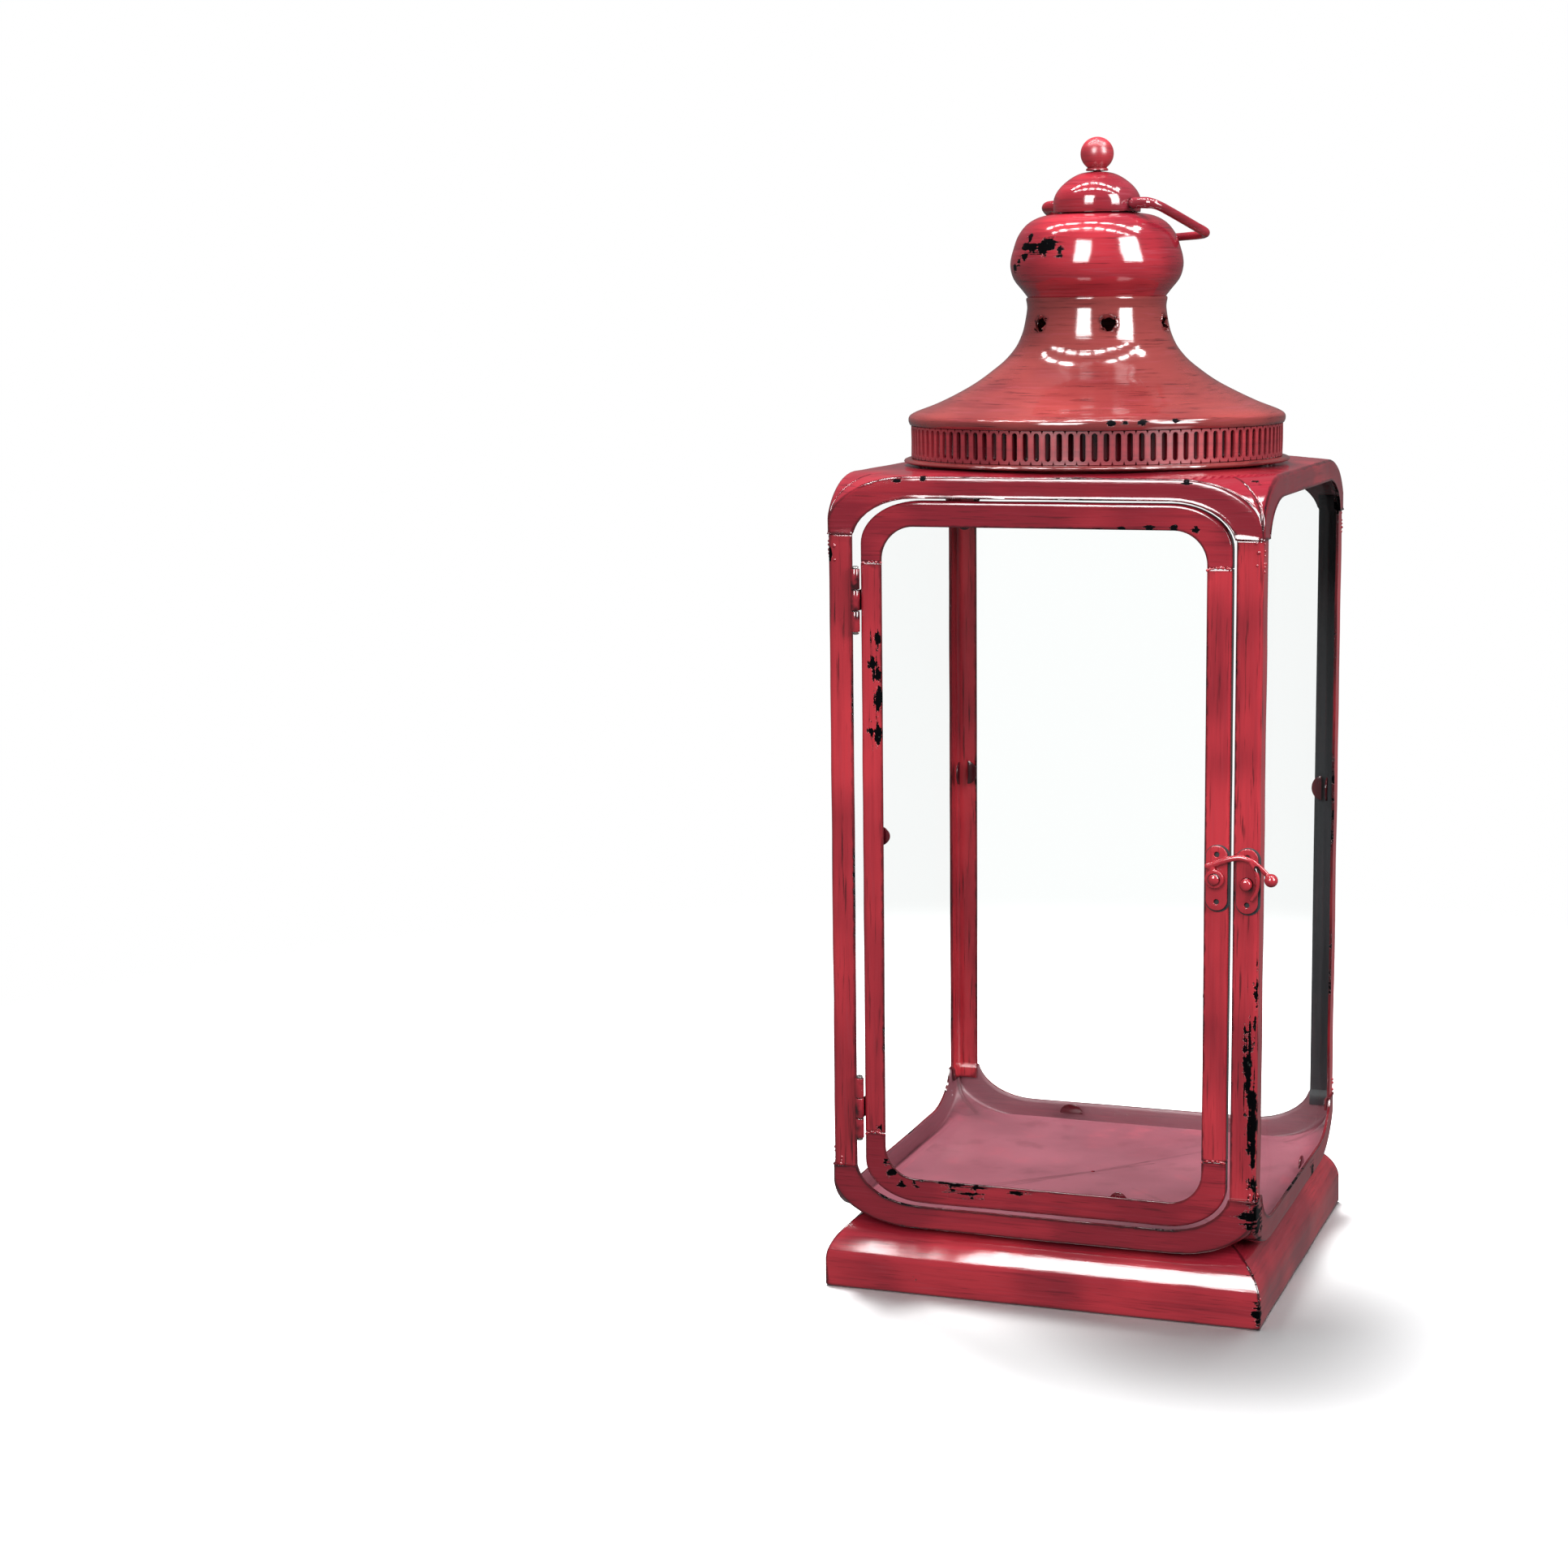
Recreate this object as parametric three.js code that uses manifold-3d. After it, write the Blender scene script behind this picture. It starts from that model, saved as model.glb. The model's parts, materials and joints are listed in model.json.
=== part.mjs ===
// Barn lantern: a square sheet-metal body on a flared base, glazed on four sides, with a hinged door,
// a horn latch, a slotted chimney gallery, a bell, a bulb, a cap dome, a ball finial and a wire bail.
// Millimetres, +Z up. The origin is on the floor under the chimney axis, and the door faces -Y.
import * as THREE from 'three';
import { mergeVertices } from 'three/addons/utils/BufferGeometryUtils.js';
import Module from 'manifold-3d';

const wasm = await Module();
wasm.setup();

// ---- driving dimensions -------------------------------------------------------------------------

const GAP = 0.3; // daylight between pieces that touch on the real lantern
const SHEET = 1.2; // wall of every sheet-metal piece

const BASE_HALF = 103; // half the width of the square base
const BASE_LIP = 14.5; // height of the upright lip round the base
const BASE_TOP = 34.2; // height of the base's top flange
const BASE_NECK = 86; // half width where the flare meets the flange
const FLANGE = 8; // width of the flange that carries the body
const HEM = 6; // width of the folded hem that the lantern stands on

const BODY_HALF = 100; // half the width of the square body
const BODY_BOTTOM = 30.5;
const BODY_TOP = 380;
const CORNER_RUN = 40; // each corner is bent down across its tip, from this far along the edges ...
const CORNER_DROP = 25; // ... by this height
const PAN_TOP = 58.5; // where the pan's upturned edge laps the posts
const ROOF_EDGE = 353.5; // where the roof's skirt laps the posts
const PILLOW = 3; // crown of the roof
const FLOOR_LIFT = 4.1; // the pan's floor stands above its lower edge by this much
const LIFT_RUN = 12;
const POST_FACE = 99.5; // the posts sit a little behind the skirts

const OPENING = { x0: -88, x1: 88, z0: 42, z1: 370, a: 30, b: 20 };
const DOOR = { x0: -84, x1: 86, z0: 43.1, z1: 368.9, a: 28, b: 19.4 };
const WINDOW = { x0: -74, x1: 75, z0: 54.5, z1: 357.3, a: 15, b: 15 };
const DOOR_FACE = 99.5;
const DOOR_DEPTH = 5.5; // depth of the turned-in edge that stiffens the door
const DOOR_JOINT_LOW = 75; // butt joints between the door's rails and stiles
const DOOR_JOINT_HIGH = 341;

const GLASS = 2;
const PANE = { x0: -91, x1: 91, z0: 38, z1: 374, a: 33, b: 24 };
const DOOR_PANE = { x0: -81.5, x1: 83.5, z0: 46.5, z1: 365.5, a: 24, b: 16 };
const CLIP = 0.7; // thickness of a pane clip

const HINGE_X = -86;
const HINGE_Y = -100.6;
const HINGE_LEVELS = { upper: 323.8, lower: 87 }; // middle of each barrel
const BARREL = 29; // length of a hinge barrel
const KNUCKLE_RADIUS = 2;
const HINGE_PIN_RADIUS = 1;

const LATCH_Z = 204.8;
const LATCH_X = 80.3; // latch pivot
const STUD_X = 94.4;
const STUD_Z = 203;
const STUD_RADIUS = 2.7;
const LATCH_PLATE = { width: 9.6, height: 29, thick: 1.2, hole: 1.2, holeRise: 10.6 };
const LEVER_BACK = 101.6;
const LEVER_THICK = 2.2;

const GALLERY_RADIUS = 86.8;
const GALLERY_LOW = 384.6;
const GALLERY_HIGH = 399.5;
const SLOTS = 104;
const SLOT_WIDTH = 2.6;
const SLOT_LOW = 386;
const SLOT_HIGH = 398.6;
const ROOF_HOLE = 30; // radius of the hole under the chimney

const VENT_HOLES = 6;
const VENT_RADIUS = 3.8;
const VENT_Z = 446;
const VENT_TURN = -6; // degrees from +X to the first vent hole

const BAIL_TURN = -26; // degrees the cap and its bail are turned round the chimney
const BAIL_DROOP = 21.5; // degrees the resting bail hangs below level
const BAIL_Z = 500.5;
const BAIL_WIRE = 1.75; // wire radius
const BALL_RADIUS = 7.7;
const BALL_Z = 523.7;

// ---- materials ----------------------------------------------------------------------------------

const enamel = new THREE.MeshStandardMaterial({ color: 0xb4202c, roughness: 0.3, metalness: 0.1 });
const enamelDark = new THREE.MeshStandardMaterial({ color: 0x8e1c26, roughness: 0.4, metalness: 0.2 });
const steel = new THREE.MeshStandardMaterial({ color: 0x5a5654, roughness: 0.5, metalness: 0.8 });
const glass = new THREE.MeshStandardMaterial({
  color: 0xeaf4f2,
  roughness: 0.05,
  metalness: 0,
  transparent: true,
  opacity: 0.25,
});

const lantern = new THREE.Group();

function addPiece(name, geometry, material, quarterTurns = 0) {
  const mesh = new THREE.Mesh(geometry, material);
  mesh.name = name;
  mesh.rotation.z = quarterTurns * Math.PI / 2;
  lantern.add(mesh);
  return mesh;
}

// ---- solids -------------------------------------------------------------------------------------

function toSolid(geometry) {
  const bare = geometry.clone();
  bare.deleteAttribute('normal');
  bare.deleteAttribute('uv');
  const merged = mergeVertices(bare, 1e-4);
  const mesh = new wasm.Mesh({
    numProp: 3,
    vertProperties: new Float32Array(merged.attributes.position.array),
    triVerts: new Uint32Array(merged.index.array),
  });
  return new wasm.Manifold(mesh);
}

function toGeometry(solid) {
  const mesh = solid.getMesh();
  const geometry = new THREE.BufferGeometry();
  geometry.setAttribute('position', new THREE.BufferAttribute(new Float32Array(mesh.vertProperties), 3));
  geometry.setIndex(Array.from(mesh.triVerts));
  geometry.computeVertexNormals();
  return geometry;
}

function cut(geometry, ...tools) {
  return toGeometry(tools.reduce((left, tool) => left.subtract(toSolid(tool)), toSolid(geometry)));
}

function join(...geometries) {
  return toGeometry(geometries.map(toSolid).reduce((whole, piece) => whole.add(piece)));
}

function common(a, b) {
  return toGeometry(toSolid(a).intersect(toSolid(b)));
}

function box(x0, x1, y0, y1, z0, z1) {
  const geometry = new THREE.BoxGeometry(x1 - x0, y1 - y0, z1 - z0);
  return geometry.translate((x0 + x1) / 2, (y0 + y1) / 2, (z0 + z1) / 2);
}

// A closed section, turned round the +Z axis.
function turned(points, segments) {
  const section = points.map(([r, z]) => new THREE.Vector2(r, z));
  return new THREE.LatheGeometry(section, segments).rotateX(Math.PI / 2);
}

// An upright round bar.
function upright(radius, z0, z1, sides) {
  const geometry = new THREE.CylinderGeometry(radius, radius, z1 - z0, sides).rotateX(Math.PI / 2);
  return geometry.translate(0, 0, (z0 + z1) / 2);
}

// A round bar that points along Y.
function crosswise(radius, y0, y1, x, z, sides) {
  const geometry = new THREE.CylinderGeometry(radius, radius, y1 - y0, sides);
  return geometry.translate(x, (y0 + y1) / 2, z);
}

// A rectangle in X and Z whose four corners are quarter ellipses a wide and b high.
function softRectangle({ x0, x1, z0, z1, a, b }) {
  const quarter = Math.PI / 2;
  const shape = new THREE.Shape();
  shape.moveTo(x0 + a, z0);
  shape.lineTo(x1 - a, z0);
  shape.absellipse(x1 - a, z0 + b, a, b, -quarter, 0);
  shape.lineTo(x1, z1 - b);
  shape.absellipse(x1 - a, z1 - b, a, b, 0, quarter);
  shape.lineTo(x0 + a, z1);
  shape.absellipse(x0 + a, z1 - b, a, b, quarter, 2 * quarter);
  shape.lineTo(x0, z0 + b);
  shape.absellipse(x0 + a, z0 + b, a, b, 2 * quarter, 3 * quarter);
  return shape;
}

function inset(outline, by) {
  const { x0, x1, z0, z1, a, b } = outline;
  return { x0: x0 + by, x1: x1 - by, z0: z0 + by, z1: z1 - by, a: a - by, b: b - by };
}

// A shape drawn in X and Z, given depth from y = back towards the front (-Y).
function panel(shape, back, depth, curveSegments = 4) {
  const geometry = new THREE.ExtrudeGeometry(shape, { depth, bevelEnabled: false, curveSegments });
  return geometry.rotateX(Math.PI / 2).translate(0, back, 0);
}

// Points moved sideways by a distance, to give a profile its inner wall.
function offset(points, distance) {
  return points.map((point, i) => {
    const before = points[Math.max(i - 1, 0)];
    const after = points[Math.min(i + 1, points.length - 1)];
    const dr = after[0] - before[0];
    const dz = after[1] - before[1];
    const length = Math.hypot(dr, dz);
    return [point[0] - distance * dz / length, point[1] + distance * dr / length];
  });
}

// A thin turned wall whose outside follows the points from its foot to its top.
function turnedWall(points, segments) {
  const inner = offset(points, SHEET).reverse();
  return turned([...points, ...inner, points[0]], segments);
}

// ---- base ---------------------------------------------------------------------------------------

// Each side of the base is one strip: hem, upright lip, convex flare and top flange, mitred at 45 degrees.
function basePanel() {
  const flare = (inward) => {
    const start = new THREE.Vector2(BASE_HALF - inward, BASE_LIP);
    const bend = new THREE.Vector2(BASE_HALF - 2 - inward, BASE_LIP + 11.5);
    const end = new THREE.Vector2(BASE_NECK, BASE_TOP - inward);
    return new THREE.QuadraticBezierCurve(start, bend, end).getPoints(6);
  };
  const corner = (s, z) => new THREE.Vector2(s, z);
  const section = [
    corner(BASE_HALF, 0),
    ...flare(0),
    corner(BASE_NECK - FLANGE, BASE_TOP),
    corner(BASE_NECK - FLANGE, BASE_TOP - SHEET),
    ...flare(SHEET).reverse(),
    corner(BASE_HALF - SHEET, SHEET),
    corner(BASE_HALF - HEM, SHEET),
    corner(BASE_HALF - HEM, 0),
  ];
  const geometry = new THREE.ExtrudeGeometry(new THREE.Shape(section), { depth: 1, bevelEnabled: false });
  const place = geometry.attributes.position;
  for (let i = 0; i < place.count; i += 1) {
    const out = place.getX(i);
    const along = 1 - 2 * place.getZ(i);
    place.setXYZ(i, along * (out - GAP / 2), -out, place.getY(i));
  }
  geometry.computeVertexNormals();
  return geometry;
}

['front', 'right', 'back', 'left'].forEach((side, turns) => {
  addPiece(`base_panel_${side}`, basePanel(), enamel, turns);
});

// ---- body: pan, posts and roof ------------------------------------------------------------------

// How far a corner is bent down at a place: the bend runs straight across the corner.
function cornerSweep(x, y) {
  const along = Math.abs(x) + Math.abs(y) - (2 * BODY_HALF - CORNER_RUN);
  const u = Math.min(Math.max(along / CORNER_RUN, 0), 1);
  return CORNER_DROP * (1 - Math.sqrt(1 - u * u));
}

function roofHeight(x, y) {
  const crown = PILLOW * (1 - (x / BODY_HALF) ** 2) * (1 - (y / BODY_HALF) ** 2);
  return BODY_TOP + crown - cornerSweep(x, y);
}

function panHeight(x, y) {
  const inward = BODY_HALF - Math.max(Math.abs(x), Math.abs(y));
  return BODY_BOTTOM + FLOOR_LIFT * THREE.MathUtils.smoothstep(inward, 0, LIFT_RUN) + cornerSweep(x, y);
}

// Grid lines across the body, closer together where the corners sweep.
function gridLines(extra) {
  const start = BODY_HALF - CORNER_RUN;
  const sweep = [0, 1, 2, 3, 4].map((k) => start + CORNER_RUN * Math.sin(k * Math.PI / 8));
  const right = [...sweep, ...extra].sort((p, q) => p - q);
  return [...right.map((x) => -x).reverse(), 0, ...right];
}

// A block on a square grid of a given half width, between a lower and an upper surface.
function gridBlock(lines, half, lower, upper) {
  const n = lines.length;
  const scale = half / BODY_HALF;
  const points = [];
  for (const surface of [lower, upper]) {
    for (const y of lines) {
      for (const x of lines) {
        points.push(x * scale, y * scale, surface(x, y));
      }
    }
  }
  const low = (i, j) => j * n + i;
  const high = (i, j) => n * n + j * n + i;
  const faces = [];
  const quad = (a, b, c, d) => faces.push(a, b, c, a, c, d);
  for (let j = 0; j < n - 1; j += 1) {
    for (let i = 0; i < n - 1; i += 1) {
      quad(high(i, j), high(i + 1, j), high(i + 1, j + 1), high(i, j + 1));
      quad(low(i, j), low(i, j + 1), low(i + 1, j + 1), low(i + 1, j));
    }
  }
  const last = n - 1;
  for (let k = 0; k < last; k += 1) {
    quad(low(k, 0), low(k + 1, 0), high(k + 1, 0), high(k, 0));
    quad(low(last, k), low(last, k + 1), high(last, k + 1), high(last, k));
    quad(low(k + 1, last), low(k, last), high(k, last), high(k + 1, last));
    quad(low(0, k + 1), low(0, k), high(0, k), high(0, k + 1));
  }
  const geometry = new THREE.BufferGeometry();
  geometry.setAttribute('position', new THREE.BufferAttribute(new Float32Array(points), 3));
  geometry.setIndex(faces);
  return geometry;
}

const openingShape = softRectangle(OPENING);
const frontToBack = panel(openingShape, 1.5 * BODY_HALF, 3 * BODY_HALF);
const sideToSide = frontToBack.clone().rotateZ(Math.PI / 2);

function bodyPan() {
  const lines = gridLines([BODY_HALF - 3, BODY_HALF - 8]);
  const outside = gridBlock(lines, BODY_HALF, panHeight, () => PAN_TOP);
  const inside = gridBlock(lines, BODY_HALF - SHEET, (x, y) => panHeight(x, y) + SHEET, () => PAN_TOP + 10);
  return cut(outside, inside, frontToBack, sideToSide);
}

function roofShell() {
  const lines = gridLines([]);
  const outside = gridBlock(lines, BODY_HALF, () => ROOF_EDGE, roofHeight);
  const inside = gridBlock(lines, BODY_HALF - SHEET, () => ROOF_EDGE - 10, (x, y) => roofHeight(x, y) - SHEET);
  const hole = upright(ROOF_HOLE, ROOF_EDGE, BODY_TOP + 20, 40);
  return cut(outside, inside, frontToBack, sideToSide, hole);
}

// An angle-section corner post.
function cornerPost() {
  const inner = POST_FACE - SHEET;
  const edge = OPENING.x1;
  const section = [
    [edge, -POST_FACE],
    [POST_FACE, -POST_FACE],
    [POST_FACE, -edge],
    [inner, -edge],
    [inner, -inner],
    [edge, -inner],
  ].map(([x, y]) => new THREE.Vector2(x, y));
  const depth = ROOF_EDGE - PAN_TOP - 2 * GAP;
  const geometry = new THREE.ExtrudeGeometry(new THREE.Shape(section), { depth, bevelEnabled: false });
  return geometry.translate(0, 0, PAN_TOP + GAP);
}

addPiece('body_pan', bodyPan(), enamel);
['front_right', 'rear_right', 'rear_left', 'front_left'].forEach((corner, turns) => {
  addPiece(`corner_post_${corner}`, cornerPost(), enamel, turns);
});
addPiece('roof_shell', roofShell(), enamel);

// ---- glazing ------------------------------------------------------------------------------------

const PANE_BACK = GAP + SHEET + GLASS - POST_FACE; // inner face of a fixed pane, in the front's frame
const DOOR_PANE_BACK = 1.4 + GAP + GLASS - DOOR_FACE;

// A half-moon tab over the edge of a pane, with its root turned past the edge. The edge runs along X,
// and the tab reaches up by the given height.
function paneClip(reach, rootLength) {
  const moon = new THREE.Shape();
  moon.moveTo(-6, 0);
  moon.absellipse(0, 0, 6, reach, Math.PI, 0, true);
  const tab = panel(moon, CLIP, CLIP, 5);
  return join(tab, box(-4, 4, -rootLength, CLIP / 2, 0, CLIP));
}

// The four clips of a pane, one in the middle of each edge or beside it.
function addClips(side, turns, pane, back, reach, places) {
  const clip = paneClip(reach, GLASS + GAP);
  const lift = GAP + CLIP;
  const edges = {
    bottom: { x: places.bottom, z: pane.z0 - lift, spin: 0 },
    top: { x: places.top, z: pane.z1 + lift, spin: Math.PI },
    left: { x: pane.x0 - lift, z: places.left, spin: Math.PI / 2 },
    right: { x: pane.x1 + lift, z: places.right, spin: -Math.PI / 2 },
  };
  for (const [edge, { x, z, spin }] of Object.entries(edges)) {
    const placed = clip.clone().rotateY(spin).translate(x, back + GAP, z);
    addPiece(`clip_${side}_${edge}`, placed, enamelDark, turns);
  }
}

const fixedClips = { bottom: 36, top: -36, left: 215, right: 215 };
[['right', 1], ['back', 2], ['left', 3]].forEach(([side, turns]) => {
  addPiece(`glass_${side}`, panel(softRectangle(PANE), PANE_BACK, GLASS), glass, turns);
  addClips(side, turns, PANE, PANE_BACK, 8, fixedClips);
});

// ---- door ---------------------------------------------------------------------------------------

// The door's frame is one outline with a turned-in edge, butted together from two rails and two stiles.
function doorFrame() {
  const face = panel(softRectangle(DOOR), 1.4 - DOOR_FACE, 1.4);
  const edge = panel(softRectangle(DOOR), DOOR_DEPTH - DOOR_FACE, DOOR_DEPTH);
  const hollow = panel(softRectangle(inset(DOOR, SHEET)), 10 - DOOR_FACE, 20);
  const pane = panel(softRectangle(WINDOW), 10 - DOOR_FACE, 20);
  return join(cut(face, pane), cut(edge, hollow));
}

const frame = doorFrame();
const doorSlice = (x0, x1, z0, z1) => common(frame, box(x0, x1, -110, -80, z0, z1));
addPiece('door_bottom_rail', doorSlice(-100, 100, 0, DOOR_JOINT_LOW), enamel);
addPiece('door_top_rail', doorSlice(-100, 100, DOOR_JOINT_HIGH, 400), enamel);
addPiece('door_left_stile', doorSlice(-100, 0, DOOR_JOINT_LOW + GAP, DOOR_JOINT_HIGH - GAP), enamel);
addPiece('door_right_stile', doorSlice(0, 100, DOOR_JOINT_LOW + GAP, DOOR_JOINT_HIGH - GAP), enamel);
addPiece('door_glass', panel(softRectangle(DOOR_PANE), DOOR_PANE_BACK, GLASS), glass);
addClips('door', 0, DOOR_PANE, DOOR_PANE_BACK, 10.5, { bottom: 36, top: -36, left: 215, right: 150 });

// ---- hinges -------------------------------------------------------------------------------------

const KNUCKLE = BARREL / 3;

function knuckle(level, index) {
  const low = level - BARREL / 2 + index * KNUCKLE + GAP / 2;
  return upright(KNUCKLE_RADIUS, low, low + KNUCKLE - GAP, 16).translate(HINGE_X, HINGE_Y, 0);
}

function boredForPin(geometry, level) {
  const bore = upright(HINGE_PIN_RADIUS + 0.1, level - BARREL, level + BARREL, 16);
  return cut(geometry, bore.translate(HINGE_X, HINGE_Y, 0));
}

// The post's leaf lies behind the post and comes forward through the gap beside the door.
function postLeaf(level) {
  const low = level - BARREL / 2;
  const high = level + BARREL / 2;
  const post = OPENING.x0;
  const behind = SHEET + GAP - POST_FACE;
  const plate = box(post - 8, post + GAP + 0.7, behind, behind + 0.8, low, high);
  const web = box(post + GAP, post + GAP + 0.7, HINGE_Y, behind + 0.4, low, high);
  const relief = box(post - 0.1, HINGE_X + 3, HINGE_Y - 3, behind, level - KNUCKLE / 2, level + KNUCKLE / 2);
  return boredForPin(join(knuckle(level, 0), knuckle(level, 2), cut(join(plate, web), relief)), level);
}

// The door's leaf lies against the door's turned-in edge.
function doorLeaf(level) {
  const low = level - KNUCKLE / 2 + GAP / 2;
  const high = level + KNUCKLE / 2 - GAP / 2;
  const face = DOOR.x0 - GAP;
  const plate = box(face - 0.7, face, HINGE_Y, DOOR_DEPTH - 1 - DOOR_FACE, low, high);
  return boredForPin(join(knuckle(level, 1), plate), level);
}

function hingePin(level) {
  const half = BARREL / 2 + GAP;
  const head = HINGE_PIN_RADIUS + 0.7;
  const section = [
    [0, -half - 0.8],
    [head, -half - 0.5],
    [head, -half],
    [HINGE_PIN_RADIUS, -half],
    [HINGE_PIN_RADIUS, half],
    [head, half],
    [head, half + 0.5],
    [0, half + 0.8],
  ];
  return turned(section, 12).translate(HINGE_X, HINGE_Y, level);
}

for (const [place, level] of Object.entries(HINGE_LEVELS)) {
  addPiece(`hinge_${place}_post_leaf`, postLeaf(level), enamel);
  addPiece(`hinge_${place}_door_leaf`, doorLeaf(level), enamel);
  addPiece(`hinge_${place}_pin`, hingePin(level), steel);
}

// ---- latch --------------------------------------------------------------------------------------

const PLATE_BACK = -POST_FACE - GAP;
const PLATE_FRONT = PLATE_BACK - LATCH_PLATE.thick;

// An upright plate with round ends and a pin hole above and below its middle.
function latchPlate(x, z) {
  const { width, height, thick, hole, holeRise } = LATCH_PLATE;
  const r = width / 2;
  const outline = { x0: x - r, x1: x + r, z0: z - height / 2, z1: z + height / 2, a: r, b: r };
  const plate = panel(softRectangle(outline), PLATE_BACK, thick);
  const holes = [-1, 1].map((s) => crosswise(hole, PLATE_FRONT - 1, PLATE_BACK + 1, x, z + s * holeRise, 10));
  return cut(plate, ...holes);
}

// A round head on a shank, pointing to the front: sections are radius and distance along -Y.
function frontPeg(section, x, z, sides) {
  return turned(section, sides).rotateX(Math.PI / 2).translate(x, 0, z);
}

function pivotRivet() {
  const foot = -PLATE_FRONT + GAP;
  const headStart = LEVER_BACK + LEVER_THICK + GAP;
  const section = [
    [0, foot],
    [1.5, foot],
    [1.5, headStart],
    [2.7, headStart],
    [2.4, headStart + 0.8],
    [1.5, headStart + 1.5],
    [0, headStart + 1.8],
  ];
  return frontPeg(section, LATCH_X, LATCH_Z, 14);
}

function catchStud() {
  const foot = -PLATE_FRONT + GAP;
  const tip = LEVER_BACK + LEVER_THICK + 1.6;
  const section = [
    [0, foot],
    [STUD_RADIUS, foot],
    [STUD_RADIUS, tip - 0.9],
    [STUD_RADIUS - 0.8, tip - 0.2],
    [0, tip],
  ];
  return frontPeg(section, STUD_X, STUD_Z, 16);
}

// A curved arm of even width in X and Z, with round ends, along a smooth line through the points.
function curvedArm(points, width) {
  const line = new THREE.SplineCurve(points.map(([x, z]) => new THREE.Vector2(x, z)));
  const count = 3 * (points.length - 1);
  const centres = line.getPoints(count);
  const side = (k, s) => {
    const along = line.getTangent(k / count);
    return centres[k].clone().add(new THREE.Vector2(-along.y, along.x).multiplyScalar(s * width / 2));
  };
  const indices = centres.map((_, k) => k);
  const right = indices.map((k) => side(k, -1));
  const left = indices.map((k) => side(k, 1)).reverse();
  const arm = panel(new THREE.Shape([...right, ...left]), -LEVER_BACK, LEVER_THICK);
  const ends = [centres[0], centres[count]].map((end) => leverDisc(end.x, end.y, width / 2, 12));
  return join(arm, ...ends);
}

function leverDisc(x, z, radius, sides) {
  return crosswise(radius, -LEVER_BACK - LEVER_THICK, -LEVER_BACK, x, z, sides);
}

// The latch's lever: an eye on the pivot, an arm arched over the stud that ends in a ball,
// and a claw that hangs from the arm round the far side of the stud.
function latchLever() {
  const arm = [[-2.9, 5.6], [1.6, 7.4], [6.6, 9.2], [11.6, 9.9], [16.3, 8.6], [20.4, 5.8], [24.2, 2]];
  const claw = [[16.2, 8], [18.6, 3.6], [19.4, -0.6], [18.6, -5], [16.4, -8.6]];
  const neck = [[-1.6, 2], [-1.4, 5.6]];
  const lever = join(
    leverDisc(0, 0, 4.2, 20),
    curvedArm(neck, 2.6),
    curvedArm(arm, 2.3),
    curvedArm(claw, 1.8),
    new THREE.SphereGeometry(3, 14, 10).translate(25.1, -LEVER_BACK - LEVER_THICK / 2, 0.6),
  );
  const eye = crosswise(1.65, -110, -95, 0, 0, 16);
  return cut(lever, eye).translate(LATCH_X, 0, LATCH_Z);
}

addPiece('latch_door_plate', latchPlate(LATCH_X + 0.5, LATCH_Z), enamel);
addPiece('latch_pivot_rivet', pivotRivet(), enamel);
addPiece('latch_lever', latchLever(), enamel);
addPiece('latch_post_plate', latchPlate(STUD_X, LATCH_Z - 0.8), enamel);
addPiece('latch_stud', catchStud(), enamel);

// ---- chimney ------------------------------------------------------------------------------------

function galleryFoot() {
  const bottom = GALLERY_LOW - GAP - 2.3;
  const section = [
    [GALLERY_RADIUS - 3, bottom],
    [GALLERY_RADIUS + 2.6, bottom],
    [GALLERY_RADIUS + 3.5, bottom + 0.9],
    [GALLERY_RADIUS + 2.6, bottom + 1.9],
    [GALLERY_RADIUS + 0.6, bottom + 2.3],
    [GALLERY_RADIUS - 3, bottom + 2.3],
    [GALLERY_RADIUS - 3, bottom],
  ];
  return turned(section, 40);
}

function gallery() {
  const inner = GALLERY_RADIUS - SHEET;
  const wall = turned([
    [inner, GALLERY_LOW],
    [GALLERY_RADIUS, GALLERY_LOW],
    [GALLERY_RADIUS, GALLERY_HIGH],
    [inner, GALLERY_HIGH],
    [inner, GALLERY_LOW],
  ], SLOTS);
  const reach = GALLERY_RADIUS + 5;
  const slots = [];
  for (let k = 0; k < SLOTS / 2; k += 1) {
    const blade = box(-reach, reach, -SLOT_WIDTH / 2, SLOT_WIDTH / 2, SLOT_LOW, SLOT_HIGH);
    slots.push(blade.rotateZ((k + 0.5) * 2 * Math.PI / SLOTS));
  }
  return cut(wall, ...slots);
}

function bell() {
  const wall = turnedWall([
    [87.6, 399.8],
    [88, 403],
    [86, 405],
    [63.8, 414.7],
    [51, 422.4],
    [42.3, 429.4],
    [37, 436],
    [33.6, 444.5],
    [32.3, 457.3],
  ], 40);
  const vents = [];
  for (let k = 0; k < VENT_HOLES; k += 1) {
    const drill = new THREE.CylinderGeometry(VENT_RADIUS, VENT_RADIUS, 20, 10).rotateZ(Math.PI / 2);
    const turn = THREE.MathUtils.degToRad(VENT_TURN + 360 * k / VENT_HOLES);
    vents.push(drill.translate(34, 0, VENT_Z).rotateZ(turn));
  }
  return cut(wall, ...vents);
}

function bulb() {
  return turnedWall([
    [31.6, 457.6],
    [37, 464],
    [40.1, 471.7],
    [39.8, 477],
    [36.8, 486.3],
    [32.3, 491.9],
    [26.7, 495],
    [18.5, 496.6],
  ], 32);
}

function capDome() {
  const wall = turnedWall([
    [20.1, 496.9],
    [20.2, 502.5],
    [18.6, 506.4],
    [14.6, 511],
    [8.2, 514.6],
    [2.2, 515.6],
  ], 24);
  const pivotHoles = upright(BAIL_WIRE + 0.35, -40, 40, 12).rotateY(Math.PI / 2).translate(0, 0, BAIL_Z);
  return cut(wall, pivotHoles);
}

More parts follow.
